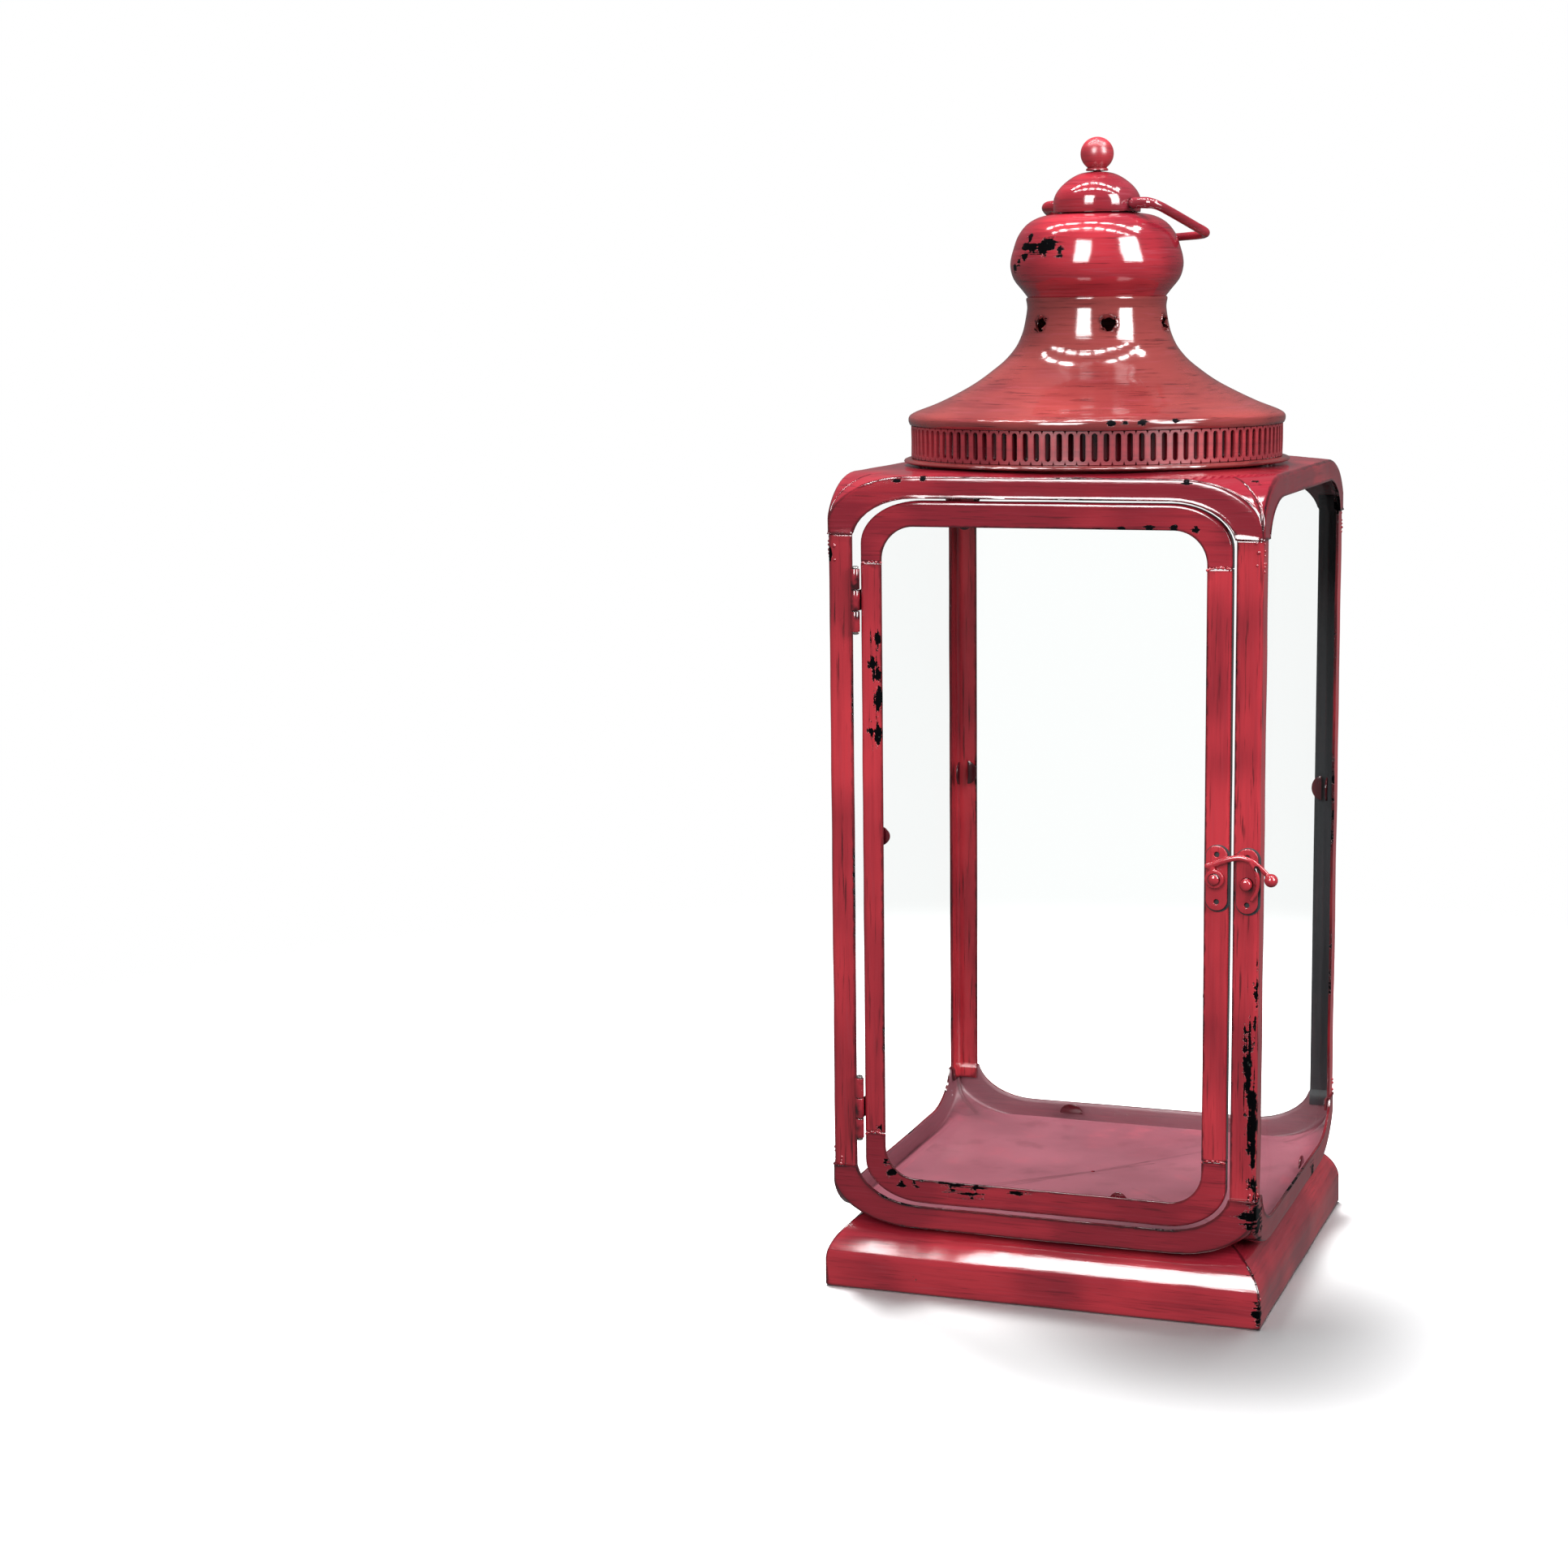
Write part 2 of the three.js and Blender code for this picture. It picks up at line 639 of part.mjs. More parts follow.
function finial() {
  const section = [[0, 508.5], [1.8, 508.5], [1.8, 515.9], [5.2, 515.9], [5, 516.8], [4.2, 517.3]];
  const start = Math.asin(4.2 / BALL_RADIUS);
  for (let k = 0; k <= 8; k += 1) {
    const angle = start + (Math.PI - start) * k / 8;
    section.push([BALL_RADIUS * Math.sin(angle), BALL_Z - BALL_RADIUS * Math.cos(angle)]);
  }
  section[section.length - 1][0] = 0;
  return turned(section, 16);
}

function finialNut() {
  return cut(upright(4, 510, 512.6, 6), upright(2.2, 505, 520, 12));
}

addPiece('gallery_foot_ring', galleryFoot(), enamel);
addPiece('vent_gallery', gallery(), enamel);
addPiece('chimney_bell', bell(), enamel);
addPiece('chimney_bulb', bulb(), enamel);
addPiece('cap_dome', capDome(), enamel).rotation.z = THREE.MathUtils.degToRad(BAIL_TURN);
addPiece('finial_ball', finial(), enamel);
addPiece('finial_nut', finialNut(), steel);

// ---- bail ---------------------------------------------------------------------------------------

// The bail is one wire in its own plane: X along the pivot axis, Y out to the grip.
function bail() {
  const half = [
    [37, 36.5],
    [36.6, 30],
    [34.8, 10],
    [33.9, 4.6],
    [32, 1.3],
    [28.5, 0],
    [21, 0],
    [14, 0],
  ];
  const grip = [[22, 40.6], [0, 42], [-22, 40.6]];
  const mirrored = half.map(([x, y]) => [-x, y]);
  const bends = [[34.4, 38.6]];
  const route = [...half.reverse(), ...bends, ...grip, [-34.4, 38.6], ...mirrored];
  const path = new THREE.CatmullRomCurve3(route.map(([x, y]) => new THREE.Vector3(x, y, 0)), false, 'centripetal');
  const sides = 8;
  const section = [];
  for (let k = 0; k < sides; k += 1) {
    const angle = (k + 0.5) * 2 * Math.PI / sides;
    section.push(new THREE.Vector2(BAIL_WIRE * Math.cos(angle), BAIL_WIRE * Math.sin(angle)));
  }
  const options = { steps: 44, bevelEnabled: false, extrudePath: path };
  return new THREE.ExtrudeGeometry(new THREE.Shape(section), options);
}

const bailPivot = new THREE.Group();
bailPivot.position.z = BAIL_Z;
bailPivot.rotation.z = THREE.MathUtils.degToRad(BAIL_TURN);
const bailMesh = new THREE.Mesh(bail(), enamel);
bailMesh.name = 'bail_handle';
bailMesh.rotation.x = THREE.MathUtils.degToRad(-BAIL_DROOP);
bailPivot.add(bailMesh);
lantern.add(bailPivot);

export default lantern;
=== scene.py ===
"""Barn lantern in chipped red enamel: the look of every piece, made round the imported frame.

Sizes are in millimetres until a mesh is made, and metres after that. Z is up and the door faces -Y.
"""
import json
import math

import bmesh
import bpy
import numpy as np
from mathutils import Matrix, Vector, kdtree, noise

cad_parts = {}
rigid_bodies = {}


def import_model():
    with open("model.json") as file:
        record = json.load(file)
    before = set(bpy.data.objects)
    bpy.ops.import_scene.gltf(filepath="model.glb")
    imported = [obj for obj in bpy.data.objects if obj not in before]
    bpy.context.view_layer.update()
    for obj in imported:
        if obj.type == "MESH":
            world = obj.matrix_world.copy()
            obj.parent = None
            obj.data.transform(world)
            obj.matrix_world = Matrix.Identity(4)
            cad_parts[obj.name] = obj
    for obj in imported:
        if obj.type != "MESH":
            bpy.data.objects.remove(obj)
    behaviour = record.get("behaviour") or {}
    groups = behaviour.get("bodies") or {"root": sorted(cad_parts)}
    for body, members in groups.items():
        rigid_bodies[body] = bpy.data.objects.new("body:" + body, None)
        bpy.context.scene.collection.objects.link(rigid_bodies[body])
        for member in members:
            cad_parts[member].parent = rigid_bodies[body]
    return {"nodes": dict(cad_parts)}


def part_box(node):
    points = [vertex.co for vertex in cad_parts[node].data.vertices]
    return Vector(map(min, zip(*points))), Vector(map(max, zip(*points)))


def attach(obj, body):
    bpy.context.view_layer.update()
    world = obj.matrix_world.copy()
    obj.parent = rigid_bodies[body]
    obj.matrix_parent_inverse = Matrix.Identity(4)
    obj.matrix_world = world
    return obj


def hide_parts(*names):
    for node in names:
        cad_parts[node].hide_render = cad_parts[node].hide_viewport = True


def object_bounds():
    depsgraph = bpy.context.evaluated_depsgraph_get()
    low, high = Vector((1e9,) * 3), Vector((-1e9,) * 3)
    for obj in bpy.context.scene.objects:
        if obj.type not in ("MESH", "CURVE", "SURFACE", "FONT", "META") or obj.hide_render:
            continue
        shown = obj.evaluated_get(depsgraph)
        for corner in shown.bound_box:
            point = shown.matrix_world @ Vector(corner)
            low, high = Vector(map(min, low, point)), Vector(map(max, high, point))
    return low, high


MM = 0.001

# ---- camera ---------------------------------------------------------------------------------------

CAMERA_PLACE = (352.5, -1387.8, 458.0)
CAMERA_TURN = 20.217  # degrees to the left of straight ahead
CAMERA_DIP = 9.112
CAMERA_ROLL = -0.715
CAMERA_LENS = 69.12


def set_camera():
    camera = bpy.data.objects.new("camera", bpy.data.cameras.new("camera"))
    camera.data.lens = CAMERA_LENS
    camera.data.sensor_width = 36
    turn = Matrix.Rotation(math.radians(CAMERA_TURN), 4, "Z")
    dip = Matrix.Rotation(math.radians(90 - CAMERA_DIP), 4, "X")
    roll = Matrix.Rotation(math.radians(CAMERA_ROLL), 4, "Z")
    place = Matrix.Translation(Vector(CAMERA_PLACE) * MM)
    camera.matrix_world = place @ turn @ dip @ roll
    bpy.context.scene.collection.objects.link(camera)
    bpy.context.scene.camera = camera


set_camera()
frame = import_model()
cad_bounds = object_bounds()

# ---- driving sizes --------------------------------------------------------------------------------

SHEET = 1.2  # wall of the sheet metal
GAP = 0.3  # daylight between neighbours

BASE_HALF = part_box("base_panel_front")[1].x / MM
BASE_LIP = 14.5
BASE_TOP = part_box("base_panel_front")[1].z / MM
BASE_NECK = 86.0
FLANGE = 8.0
HEM = 6.0
HEM_ROUND = 1.3

BODY_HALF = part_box("roof_shell")[1].x / MM
BODY_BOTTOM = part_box("body_pan")[0].z / MM
BODY_TOP = 380.0
PAN_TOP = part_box("body_pan")[1].z / MM
ROOF_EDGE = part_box("roof_shell")[0].z / MM
POST_FACE = 99.5
CORNER_RUN = 40.0
CORNER_DROP = 25.0
CORNER_ROUND = 2.4  # plan radius of the body's corners
FOLD = 1.7  # outside radius where a skirt folds over
PILLOW = 3.0
FLOOR_LIFT = 4.1
LIFT_RUN = 12.0
ROOF_HOLE = 30.0

# Openings and panes in X and Z, each with quarter-ellipse corners `a` wide and `b` high.
OPENING = {"x0": -88, "x1": 88, "z0": 42, "z1": 370, "a": 30, "b": 20}
DOOR = {"x0": -84, "x1": 86, "z0": 43.1, "z1": 368.9, "a": 28, "b": 19.4}
WINDOW = {"x0": -74, "x1": 75, "z0": 54.5, "z1": 357.3, "a": 15, "b": 15}
DOOR_FACE = 99.5
DOOR_DEPTH = 5.5
DOOR_JOINTS = (75.0, 341.0)
CURVE_START = OPENING["x1"] - OPENING["a"]  # where an opening's edge starts to turn
CURVE_REACH = 29.54
LEVEL_FROM = 87.6  # from here to the corner the skirts' edges run level
PANE = {"x0": -91, "x1": 91, "z0": 38, "z1": 374, "a": 33, "b": 24}
DOOR_PANE = {"x0": -81.5, "x1": 83.5, "z0": 46.5, "z1": 365.5, "a": 24, "b": 16}
GLASS = 2.0
CLIP_THICK = 0.7

HINGE_X = -86.0
HINGE_Y = -100.6
HINGE_LEVELS = {"upper": 323.8, "lower": 87.0}
BARREL = 29.0
KNUCKLE_RADIUS = 2.0

LATCH_X, LATCH_Z = 80.3, 204.8
STUD_X, STUD_Z = 94.4, 203.0
LEVER_BACK = 101.6
LEVER_THICK = 2.2
PLATE_HALF, PLATE_THICK = 4.8, 1.2
PLATE_FRONT = POST_FACE + GAP + PLATE_THICK

GALLERY_RADIUS = 86.8
GALLERY_LOW, GALLERY_HIGH = 384.6, 399.5
SLOTS = 104
SLOT_WIDTH = 2.6
SLOT_LOW, SLOT_HIGH = 386.0, 398.6

HOLE_NET = 2.1  # the net bends round a hole within so many of its radii
HOLE_SHARE = 0.93  # faces whose middles lie within this share of the radius are taken out
VENT_RADIUS, VENT_Z, VENT_TURN, VENT_HOLES = 3.8, 446.0, -6.0, 6
BAIL_TURN, BAIL_DROOP, BAIL_Z, BAIL_WIRE = -26.0, 21.5, 500.5, 1.75
BALL_RADIUS, BALL_Z = 7.7, 523.7

# The bail swells along its sides and, just outside the cap, once more.
SIDE_START, SIDE_END, SIDE_FADE, SIDE_SWELL = 6, 44, 10, 0.22
BOSS_START, BOSS_RISE, BOSS_END, BOSS_FALL, BOSS_SWELL = 20.9, 0.8, 33.5, 3.5, 0.26

BEAD_SHIFT = 0.35
BEAD_SIZES = (0.65, 1.25)  # smallest and largest share of the lump radius

# Points closer than this are one point.
SHEET_DOUBLES, SOLID_DOUBLES, PLATE_DOUBLES = 0.01, 0.004, 0.002
SLIVERS = 0.002

FLOOR_RADIUS = 1500.0
LAMP_TARGET = (0, 0, 0.25)  # in metres, as are the lamps' places and sizes
CEILING = 2.3


# ---- shader maths ---------------------------------------------------------------------------------


class Value:
    """A number that varies over a surface. Arithmetic on it adds Math nodes."""

    def __init__(self, finish, socket):
        self.finish = finish
        self.socket = socket

    def __add__(self, other):
        return self.finish.math("ADD", self, other)

    def __radd__(self, other):
        return self.finish.math("ADD", other, self)

    def __sub__(self, other):
        return self.finish.math("SUBTRACT", self, other)

    def __rsub__(self, other):
        return self.finish.math("SUBTRACT", other, self)

    def __mul__(self, other):
        return self.finish.math("MULTIPLY", self, other)

    def __rmul__(self, other):
        return self.finish.math("MULTIPLY", other, self)

    def __truediv__(self, other):
        return self.finish.math("DIVIDE", self, other)

    def at_least(self, other):
        return self.finish.math("MAXIMUM", self, other)

    def at_most(self, other):
        return self.finish.math("MINIMUM", self, other)

    def step(self, low, high):
        """0 below low, 1 above high, smooth between."""
        settings = {"interpolation_type": "SMOOTHSTEP"}
        values = {"Value": self, "From Min": low, "From Max": high}
        return Value(self.finish, self.finish.node("ShaderNodeMapRange", settings, values).outputs["Result"])


class Nodes:
    """A node tree, built one node at a time."""

    def __init__(self, tree):
        self.tree = tree
        tree.nodes.clear()

    def node(self, kind, settings=None, values=None):
        """Any node: its settings are set first, then its sockets get values or links."""
        node = self.tree.nodes.new(kind)
        for name, value in (settings or {}).items():
            setattr(node, name, value)
        for name, value in (values or {}).items():
            self.feed(node.inputs[name], value)
        return node

    def feed(self, socket, value):
        source = value.socket if isinstance(value, Value) else value
        if isinstance(source, bpy.types.NodeSocket):
            self.tree.links.new(source, socket)
        else:
            socket.default_value = source


class Group(Nodes):
    """Geometry Nodes with named inputs: each has a label, a kind of socket and a value."""

    def __init__(self, name, inputs):
        super().__init__(bpy.data.node_groups.new(name, "GeometryNodeTree"))
        add = self.tree.interface.new_socket
        add("Geometry", in_out="INPUT", socket_type="NodeSocketGeometry")
        for label, kind, value in inputs:
            add(label, in_out="INPUT", socket_type=f"NodeSocket{kind}").default_value = value
        add("Material", in_out="INPUT", socket_type="NodeSocketMaterial")
        add("Geometry", in_out="OUTPUT", socket_type="NodeSocketGeometry")
        self.given = self.node("NodeGroupInput").outputs

    def done(self, instances, join=0.0):
        """Makes the instances real, joins points that lie within `join` mm and sets the material."""
        solid = self.node("GeometryNodeRealizeInstances", None, {0: instances}).outputs[0]
        if join:
            values = {"Geometry": solid, "Distance": join * MM}
            solid = self.node("GeometryNodeMergeByDistance", None, values).outputs[0]
        values = {"Geometry": solid, "Material": self.given["Material"]}
        painted = self.node("GeometryNodeSetMaterial", None, values).outputs[0]
        self.node("NodeGroupOutput", None, {0: painted})
        return self.tree


class Finish(Nodes):
    """One material, with its nodes."""

    def __init__(self, name):
        self.material = bpy.data.materials.new(name)
        self.material.use_nodes = True
        super().__init__(self.material.node_tree)
        self.place = self.node("ShaderNodeTexCoord").outputs["Object"]

    def math(self, operation, *values):
        node = self.node("ShaderNodeMath", {"operation": operation}, dict(enumerate(values)))
        return Value(self, node.outputs[0])

    def noise(self, scale, detail=2.0, stretch=(1, 1, 1), shift=0.0, roughness=0.5):
        """Noise with `scale` lumps to the metre, drawn out along the axes whose stretch is small."""
        mapping = self.node("ShaderNodeMapping", None, {
            "Vector": self.place, "Location": (shift, -shift, 2 * shift), "Scale": stretch})
        node = self.node("ShaderNodeTexNoise", {"noise_dimensions": "3D"}, {
            "Vector": mapping.outputs[0], "Scale": scale, "Detail": detail, "Roughness": roughness})
        return Value(self, node.outputs[0])

    def near(self, point, radius, stretch=(1, 1, 1)):
        """1 at a point given in millimetres, 0 at the radius and less beyond it; stretch draws it out."""
        apart = self.vector("SUBTRACT", self.place, [c * MM for c in point])
        scaled = self.vector("MULTIPLY", apart.outputs[0], [1 / c for c in stretch])
        length = self.vector("LENGTH", scaled.outputs[0])
        return 1 - Value(self, length.outputs["Value"]) / (radius * MM)

    def vector(self, operation, *values):
        return self.node("ShaderNodeVectorMath", {"operation": operation}, dict(enumerate(values)))

    def attribute(self, name):
        return Value(self, self.node("ShaderNodeAttribute", {"attribute_name": name}).outputs["Fac"])

    def mix(self, factor, first, second):
        """A blend of two colours, each a colour or a socket."""
        node = self.node("ShaderNodeMix", {"data_type": "RGBA"})
        self.feed(node.inputs["Factor"], factor)
        colour_sockets = [s for s in node.inputs if s.type == "RGBA"]
        for socket, colour in zip(colour_sockets, (first, second)):
            self.feed(socket, colour if isinstance(colour, bpy.types.NodeSocket) else (*colour, 1))
        return next(s for s in node.outputs if s.type == "RGBA")

    def bump(self, height, distance, strength=1.0, normal=None):
        values = {"Height": height, "Distance": distance, "Strength": strength}
        if normal is not None:
            values["Normal"] = normal
        return self.node("ShaderNodeBump", None, values).outputs["Normal"]

    def done(self, shader):
        self.node("ShaderNodeOutputMaterial", None, {"Surface": shader})
        return self.material


CRIMSON = (0.43, 0.027, 0.038)
DARK_CRIMSON = (0.18, 0.008, 0.017)
BRICK = (0.2, 0.032, 0.03)
DARK_BRICK = (0.1, 0.012, 0.014)
DEEP_RED = (0.03, 0.002, 0.004)
ROSE = (0.26, 0.05, 0.07)
MAUVE = (0.2, 0.055, 0.075)
DARK_MAUVE = (0.11, 0.028, 0.042)
UNDERCOAT = (0.004, 0.004, 0.005)
BARE_METAL = (0.07, 0.075, 0.07)


def enamel(name, stretch, bare=(), reds=(CRIMSON, DARK_CRIMSON), wear=1.0, dark=0.0, deep=0.5, rose=0.0,
           gloss=0.07, edge_reach=1.5, outline=1.0):
    """Brushed red enamel over a black undercoat.

    stretch draws the brush marks out, and reds are its thin and its thick colour.
    bare lists (point, radius, stretch) where the enamel is knocked off.
    dark moves the whole red towards its darker colour, deep says how strong the brush marks are and rose how
    pale the thin ones.
    wear says how much of the edges has gone, edge_reach how far in from an edge it goes, and
    outline how dark the edges are made, by gathered glaze and by painted shade.
    """
    finish = Finish(name)
    broad = finish.noise(17, 2)
    brush = finish.noise(1, 4, stretch, 3.1, 0.62)
    fine_brush = finish.noise(3.1, 3, stretch, 8.4, 0.6)
    grain = finish.noise(650, 4, shift=1.7, roughness=0.62)
    lumps = finish.noise(170, 3, shift=5.2)
    clusters = finish.noise(34, 2, shift=9.3)

    # brush marks: thin and thick enamel side by side, in broad bands and a few fine lines
    bands = brush.step(0.42, 0.8) * 0.38 + broad.step(0.36, 0.7) * 0.55
    lines = fine_brush.step(0.56, 0.7)
    red = finish.mix((bands + dark).at_most(1.0), *reds)
    red = finish.mix((lines * deep + bands * deep * 0.4).at_most(1.0), red, DEEP_RED)
    pale = (1 - fine_brush).step(0.54, 0.7) * (0.1 + rose) + broad.step(0.5, 0.8) * rose
    red = finish.mix(pale.at_most(1.0), red, ROSE)

    # the glaze gathers dark along the edges, and painted shade darkens them further
    edge = finish.attribute("edge_distance")
    edge_glaze_and_shade = (1.25 - edge + (lumps - 0.5) * 1.8).step(0.0, 0.9) * (clusters * 1.5).at_most(1.0)
    red = finish.mix((edge_glaze_and_shade * outline).at_most(1.0), red, DEEP_RED)

    # the undercoat shows along the edges, at knocks and in a few scattered specks
    ragged = lumps * 0.6 + grain * 0.4
    edge_loss = ragged * 1.5 + clusters * 1.1 - edge / edge_reach * 0.42 - (1.86 - 0.38 * wear)
    specks = ragged + clusters * 0.55 + (brush - 0.5) * 0.3 - (1.1 - 0.05 * wear)
    loss = edge_loss.step(-0.03, 0.05).at_least(specks.step(0.0, 0.035))
    for point, radius, *drawn in bare:
        knock = finish.near(point, radius * 1.25, *drawn)
        knock = knock + (ragged - 0.5) * 2.2 + (brush - 0.5) * 2.4 + (lines - 0.5) * 0.35
        loss = loss.at_least((knock - 0.3).step(0.0, 0.1))
    metal = (grain * 0.6 + lumps * 0.6 + loss * 0.2 - 0.95).step(0.0, 0.06) * loss
    coat = finish.mix(metal, UNDERCOAT, BARE_METAL)
    colour = finish.mix(loss, red, coat)

    roughness = gloss + fine_brush * 0.05 + loss * 0.4 + broad * 0.04
    relief = finish.bump(finish.noise(26, 2, shift=2.2), 0.0016, 0.4)
    relief = finish.bump(fine_brush * 0.6 + grain * 0.1, 0.00012, 0.5, relief)
    relief = finish.bump(1 - loss, 0.00028, 0.9, relief)
    shader = finish.node("ShaderNodeBsdfPrincipled", None, {
        "Base Color": colour, "Roughness": roughness, "Normal": relief, "Metallic": loss, "IOR": 1.8})
    return finish.done(shader.outputs[0])


def slate_coat(name):
    """A dark grey surface with a faint streaky tone: the rear-right post's inner faces, and the painted
    shadow behind the latch plates.
    """
    finish = Finish(name)
    tone = finish.noise(1, 3, ALONG_Z, 2.0)
    colour = finish.mix(tone.step(0.3, 0.7), (0.014, 0.017, 0.02), (0.034, 0.036, 0.041))
    shader = finish.node("ShaderNodeBsdfPrincipled", None, {
        "Base Color": colour, "Roughness": 0.4 + tone * 0.15, "Normal": finish.bump(tone, 0.0002, 0.4)})
    return finish.done(shader.outputs[0])


def bare_steel(name):
    finish = Finish(name)
    grain = finish.noise(700, 3)
    rust = finish.noise(180, 3, shift=4.0).step(0.52, 0.72)
    colour = finish.mix(rust, (0.33, 0.32, 0.31), (0.11, 0.05, 0.03))
    relief = finish.bump(grain, 0.0001, 0.6)
    shader = finish.node("ShaderNodeBsdfPrincipled", None, {
        "Base Color": colour, "Metallic": 1 - rust * 0.8, "Roughness": 0.32 + rust * 0.35 + grain * 0.1,
        "Normal": relief})
    return finish.done(shader.outputs[0])


def old_glass(name):
    """Thin clear glass with a faint film that gathers near its edges."""
    finish = Finish(name)
    film = finish.noise(30, 3, shift=2.0).step(0.5, 0.9) * 0.002
    edge = finish.attribute("edge_distance")
    rim = (1 - edge / 7.0).at_least(0.0) * 0.004
    relief = finish.bump(finish.noise(9, 1), 0.0016, 0.35)
    clear = finish.node("ShaderNodeBsdfTransparent", None, {"Color": (0.995, 1.0, 0.998, 1)})
    shine = finish.node("ShaderNodeBsdfPrincipled", None, {
        "Base Color": (0.93, 0.95, 0.95, 1), "Metallic": 1.0, "Roughness": 0.03, "Normal": relief})
    facing = finish.node("ShaderNodeFresnel", None, {"IOR": 1.45})
    amount = Value(finish, facing.outputs[0]) * 0.05 + film + rim
    shader = finish.node("ShaderNodeMixShader", None, {0: amount, 1: clear.outputs[0], 2: shine.outputs[0]})
    return finish.done(shader.outputs[0])


def studio_floor(name):
    """A pale floor that fades out towards its rim."""
    finish = Finish(name)
    tone = finish.noise(3, 2)
    colour = finish.mix(tone, (0.79, 0.79, 0.8), (0.82, 0.82, 0.82))
    inside = finish.near((0, 0, 0), FLOOR_RADIUS)
    shader = finish.node("ShaderNodeBsdfPrincipled", None, {
        "Base Color": colour, "Roughness": 0.6 + tone * 0.05, "Specular IOR Level": 0.2,
        "Alpha": inside.step(0.42, 0.78)})
    return finish.done(shader.outputs[0])


# ---- mesh tools -----------------------------------------------------------------------------------


def mesh_object(name, points, faces, edges=()):
    mesh = bpy.data.meshes.new(name)
    mesh.from_pydata([tuple(c * MM for c in p) for p in points], edges, faces)
    mesh.update()
    obj = bpy.data.objects.new(name, mesh)
    bpy.context.scene.collection.objects.link(obj)
    return obj


def baked(obj):
    """The object with its modifiers turned into a plain mesh."""
    bpy.context.view_layer.update()
    evaluated = obj.evaluated_get(bpy.context.evaluated_depsgraph_get())
    mesh = bpy.data.meshes.new_from_object(evaluated)
    obj.modifiers.clear()
    obj.data = mesh
    return obj


def lattice(rows, wrap=False):
    """Points and four-sided faces of a net whose rows all have the same number of points."""
    count = len(rows[0])
    points = [p for row in rows for p in row]
    faces = []
    last = len(rows) if wrap else len(rows) - 1
    for i in range(last):
        k = (i + 1) % len(rows)
        for j in range(count - 1):
            faces.append((i * count + j, k * count + j, k * count + j + 1, i * count + j + 1))
    return points, faces


def ramp(value):
    """The value, held between 0 and 1."""
    return min(max(value, 0), 1)


def clean(obj, doubles, slivers=0.0, inside=None):
    """Merges points within `doubles` mm and turns the faces outwards, on an open sheet away from `inside`."""
    bm = bmesh.new()
    bm.from_mesh(obj.data)
    bmesh.ops.remove_doubles(bm, verts=bm.verts, dist=doubles * MM)
    if slivers:
        bmesh.ops.dissolve_degenerate(bm, edges=bm.edges, dist=slivers * MM)
    bmesh.ops.recalc_face_normals(bm, faces=bm.faces)
    if inside:
        centre = Vector(inside) * MM
        outwards = sum(f.normal.dot(f.calc_center_median() - centre) * f.calc_area() for f in bm.faces)
        if outwards < 0:
            bmesh.ops.reverse_faces(bm, faces=bm.faces)
    bm.to_mesh(obj.data)
    bm.free()


def sharp_points(mesh, angle=40):
    """Points every millimetre or so along a mesh's sharp and open edges, but not at its pole."""
    bm = bmesh.new()
    bm.from_mesh(mesh)
    found = []
    for edge in bm.edges:
        open_edge = len(edge.link_faces) < 2
        if open_edge or edge.calc_face_angle(0) > math.radians(angle):
            start, end = edge.verts[0].co, edge.verts[1].co
            steps = max(1, int((end - start).length / MM))
            if math.hypot(start.x, start.y) > 4 * MM:
                found += [start.lerp(end, k / steps) for k in range(steps + 1)]
    bm.free()
    return found


def store_edge_distance(mesh, found):
    """Keeps each point's distance from the nearest edge, in millimetres, for worn enamel and painted edge
    shade.
    """
    distances = [50.0] * len(mesh.vertices)
    if found:
        tree = kdtree.KDTree(len(found))
        for k, point in enumerate(found):
            tree.insert(point, k)
        tree.balance()
        distances = [tree.find(v.co)[2] / MM for v in mesh.vertices]
    attribute = mesh.attributes.new("edge_distance", "FLOAT", "POINT")
    attribute.data.foreach_set("value", distances)


def wobble(obj, amount, size, seed):
    """Hand-worked unevenness: points move along their normals by up to `amount` mm, inside the CAD box."""
    offset = Vector((seed * 7.3, -seed * 3.1, seed * 1.7))
    low, high = cad_bounds
    for v in obj.data.vertices:
        shift = noise.noise(v.co / (size * MM) + offset)
        place = v.co + v.normal * shift * amount * MM
        v.co = [min(max(c, least), most) for c, least, most in zip(place, low, high)]
    obj.data.update()


def finish_piece(obj, material, body, nodes=(), wall=0.0, bevel=0.0, smooth=42, ridges=(),
                 inner=None):
    """Gives a piece its wall, soft edges, material and body. Folded ridges wear as edges do."""
    obj.data.materials.clear()
    obj.data.materials.append(material)
    if inner:
        obj.data.materials.append(inner)
    if wall:
        solidify = obj.modifiers.new("wall", "SOLIDIFY")
        solidify.thickness = wall * MM
        solidify.offset = -1
        solidify.material_offset = 1 if inner else 0
        baked(obj)
    found = sharp_points(obj.data) + [Vector(p) * MM for p in ridges]
    if bevel:
        soft = obj.modifiers.new("edges", "BEVEL")
        soft.width = bevel * MM
        soft.segments = 2
        soft.limit_method = "ANGLE"
        soft.angle_limit = math.radians(50)
        soft.use_clamp_overlap = True
        baked(obj)
    store_edge_distance(obj.data, found)
    obj.data.shade_smooth()
    obj.data.set_sharp_from_angle(angle=math.radians(smooth))
    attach(obj, body)
    if nodes:
        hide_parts(*nodes)


def sheet_piece(name, rows, material, body="lantern", inside=(0, 0, 200), wrap=False, uneven=0.0,
                uneven_size=45, seed=1, ridge=None, inner=None):
    """A folded or turned sheet whose outer face is the net of rows. ridge is its fold's place in a row."""
    obj = mesh_object(name, *lattice(rows, wrap))
    clean(obj, SHEET_DOUBLES, inside=inside)
    if uneven:
        wobble(obj, uneven, uneven_size, seed)
    ridges = [] if ridge is None else [row[ridge] for row in rows]
    finish_piece(obj, material, body, (name,), wall=SHEET, bevel=0.22, ridges=ridges, inner=inner)


